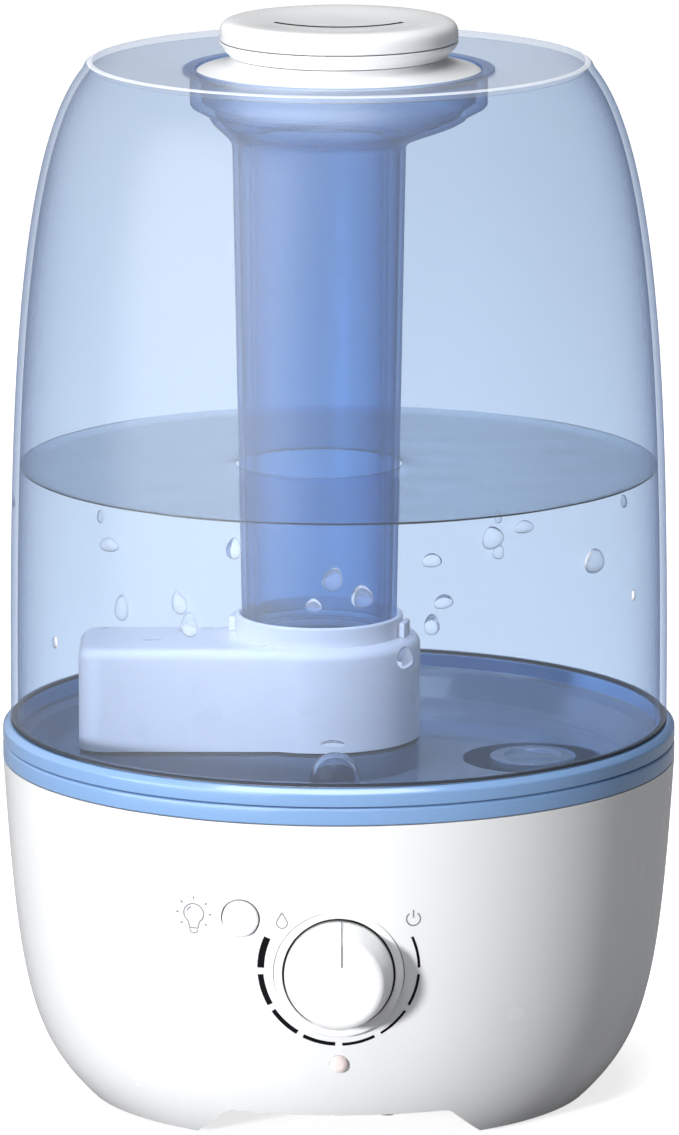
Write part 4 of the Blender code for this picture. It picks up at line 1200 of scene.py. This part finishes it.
def make_world():
    """White behind everything, and for light a room that is bright at the left and dim at the right."""
    bright_way = Vector((-0.86, -0.30, 0.40)).normalized()
    dimmest, brightest, reach = 0.04, 0.85, 0.9
    share_for_matt = 0.19
    world = bpy.data.worlds.new("studio")
    bpy.context.scene.world = world
    world.use_nodes = True
    tree = world.node_tree
    tree.nodes.clear()
    towards_light = add(tree, "ShaderNodeVectorMath", {"operation": "DOT_PRODUCT"})
    feed(tree, towards_light.inputs[0], add(tree, "ShaderNodeTexCoord").outputs["Generated"])
    feed(tree, towards_light.inputs[1], bright_way)
    bright = add(
        tree,
        "ShaderNodeMapRange",
        {"interpolation_type": "SMOOTHSTEP"},
        Value=towards_light.outputs["Value"],
        From_Min=-reach,
        From_Max=reach,
        To_Min=dimmest,
        To_Max=brightest,
    )
    matt_ray = add(tree, "ShaderNodeLightPath").outputs["Is Diffuse Ray"]
    dimmed = ramp(tree, matt_ray, 1.0, share_for_matt)
    strength = maths(tree, "MULTIPLY", bright.outputs[0], dimmed)
    room = add(tree, "ShaderNodeBackground", Color=rgba((0.97, 0.985, 1.0)), Strength=strength)
    backdrop = add(tree, "ShaderNodeBackground", Color=rgba((1, 1, 1)), Strength=1.0)
    either = mixed_shader(tree, bounced_ray(tree), backdrop, room)
    output = add(tree, "ShaderNodeOutputWorld")
    tree.links.new(either.outputs[0], output.inputs["Surface"])


def soft_light(name, azimuth, elevation, distance, size, power, mirrored=True, lights_matt=True):
    """A square area light aimed at the object. Azimuth 0 is the front and grows to the right."""
    aim_height = 150
    lamp = bpy.data.lights.new(name, "AREA")
    lamp.shape = "SQUARE"
    lamp.size = size
    lamp.energy = power
    made = bpy.data.objects.new(name, lamp)
    turn, tilt = math.radians(azimuth), math.radians(elevation)
    way = Vector((math.sin(turn) * math.cos(tilt), -math.cos(turn) * math.cos(tilt), math.sin(tilt)))
    made.location = Vector((0, AXIS_Y, aim_height)) * MM + way * distance
    made.rotation_mode = "QUATERNION"
    made.rotation_quaternion = (-way).to_track_quat("-Z", "Y")
    made.visible_glossy = mirrored
    made.visible_diffuse = lights_matt
    bpy.context.scene.collection.objects.link(made)


def make_camera():
    """The eye is 2.66 m away and looks down by 11.3 degrees at the middle of the tank."""
    distance, fall, field, far_clip = 2.661, 0.196, math.radians(6.885), 100.0
    aim = Vector((0.2, AXIS_Y, 149.3)) * MM
    lens_data = bpy.data.cameras.new("camera")
    lens_data.lens = lens_data.sensor_width / 2 / math.tan(field / 2)
    lens_data.clip_end = far_clip
    camera = bpy.data.objects.new("camera", lens_data)
    down = math.asin(fall)
    camera.location = aim + Vector((0, -math.cos(down), math.sin(down))) * distance
    camera.rotation_euler = (math.pi / 2 - down, 0, 0)
    bpy.context.scene.collection.objects.link(camera)
    bpy.context.scene.camera = camera


def finish_nodes():
    """Gives every CAD node its procedural material, by the slot that it was packed with."""
    for node in frame["nodes"].values():
        for slot in node.material_slots:
            slot.material = SLOT_LOOKS[slot.material.name.split(".")[0]]


make_camera()
make_world()
make_stage()
soft_light("key", -33, 6, 2.2, 0.2, 52, mirrored=False)
soft_light("softbox", -50, 10, 0.75, 0.9, 7, lights_matt=False)
soft_light("top", -25, 75, 2.4, 1.8, 60)
bpy.context.scene.view_settings.view_transform = "Standard"

finish_nodes()
make_base_shell()
make_tray()
make_knob()
make_front_buttons()
make_jack()
make_printed_marks()
make_tank_floor()
make_tank()
make_housing()
make_tank_fittings()
make_valve_spring()
make_water()
make_drops()
make_tubes()
make_nozzle()
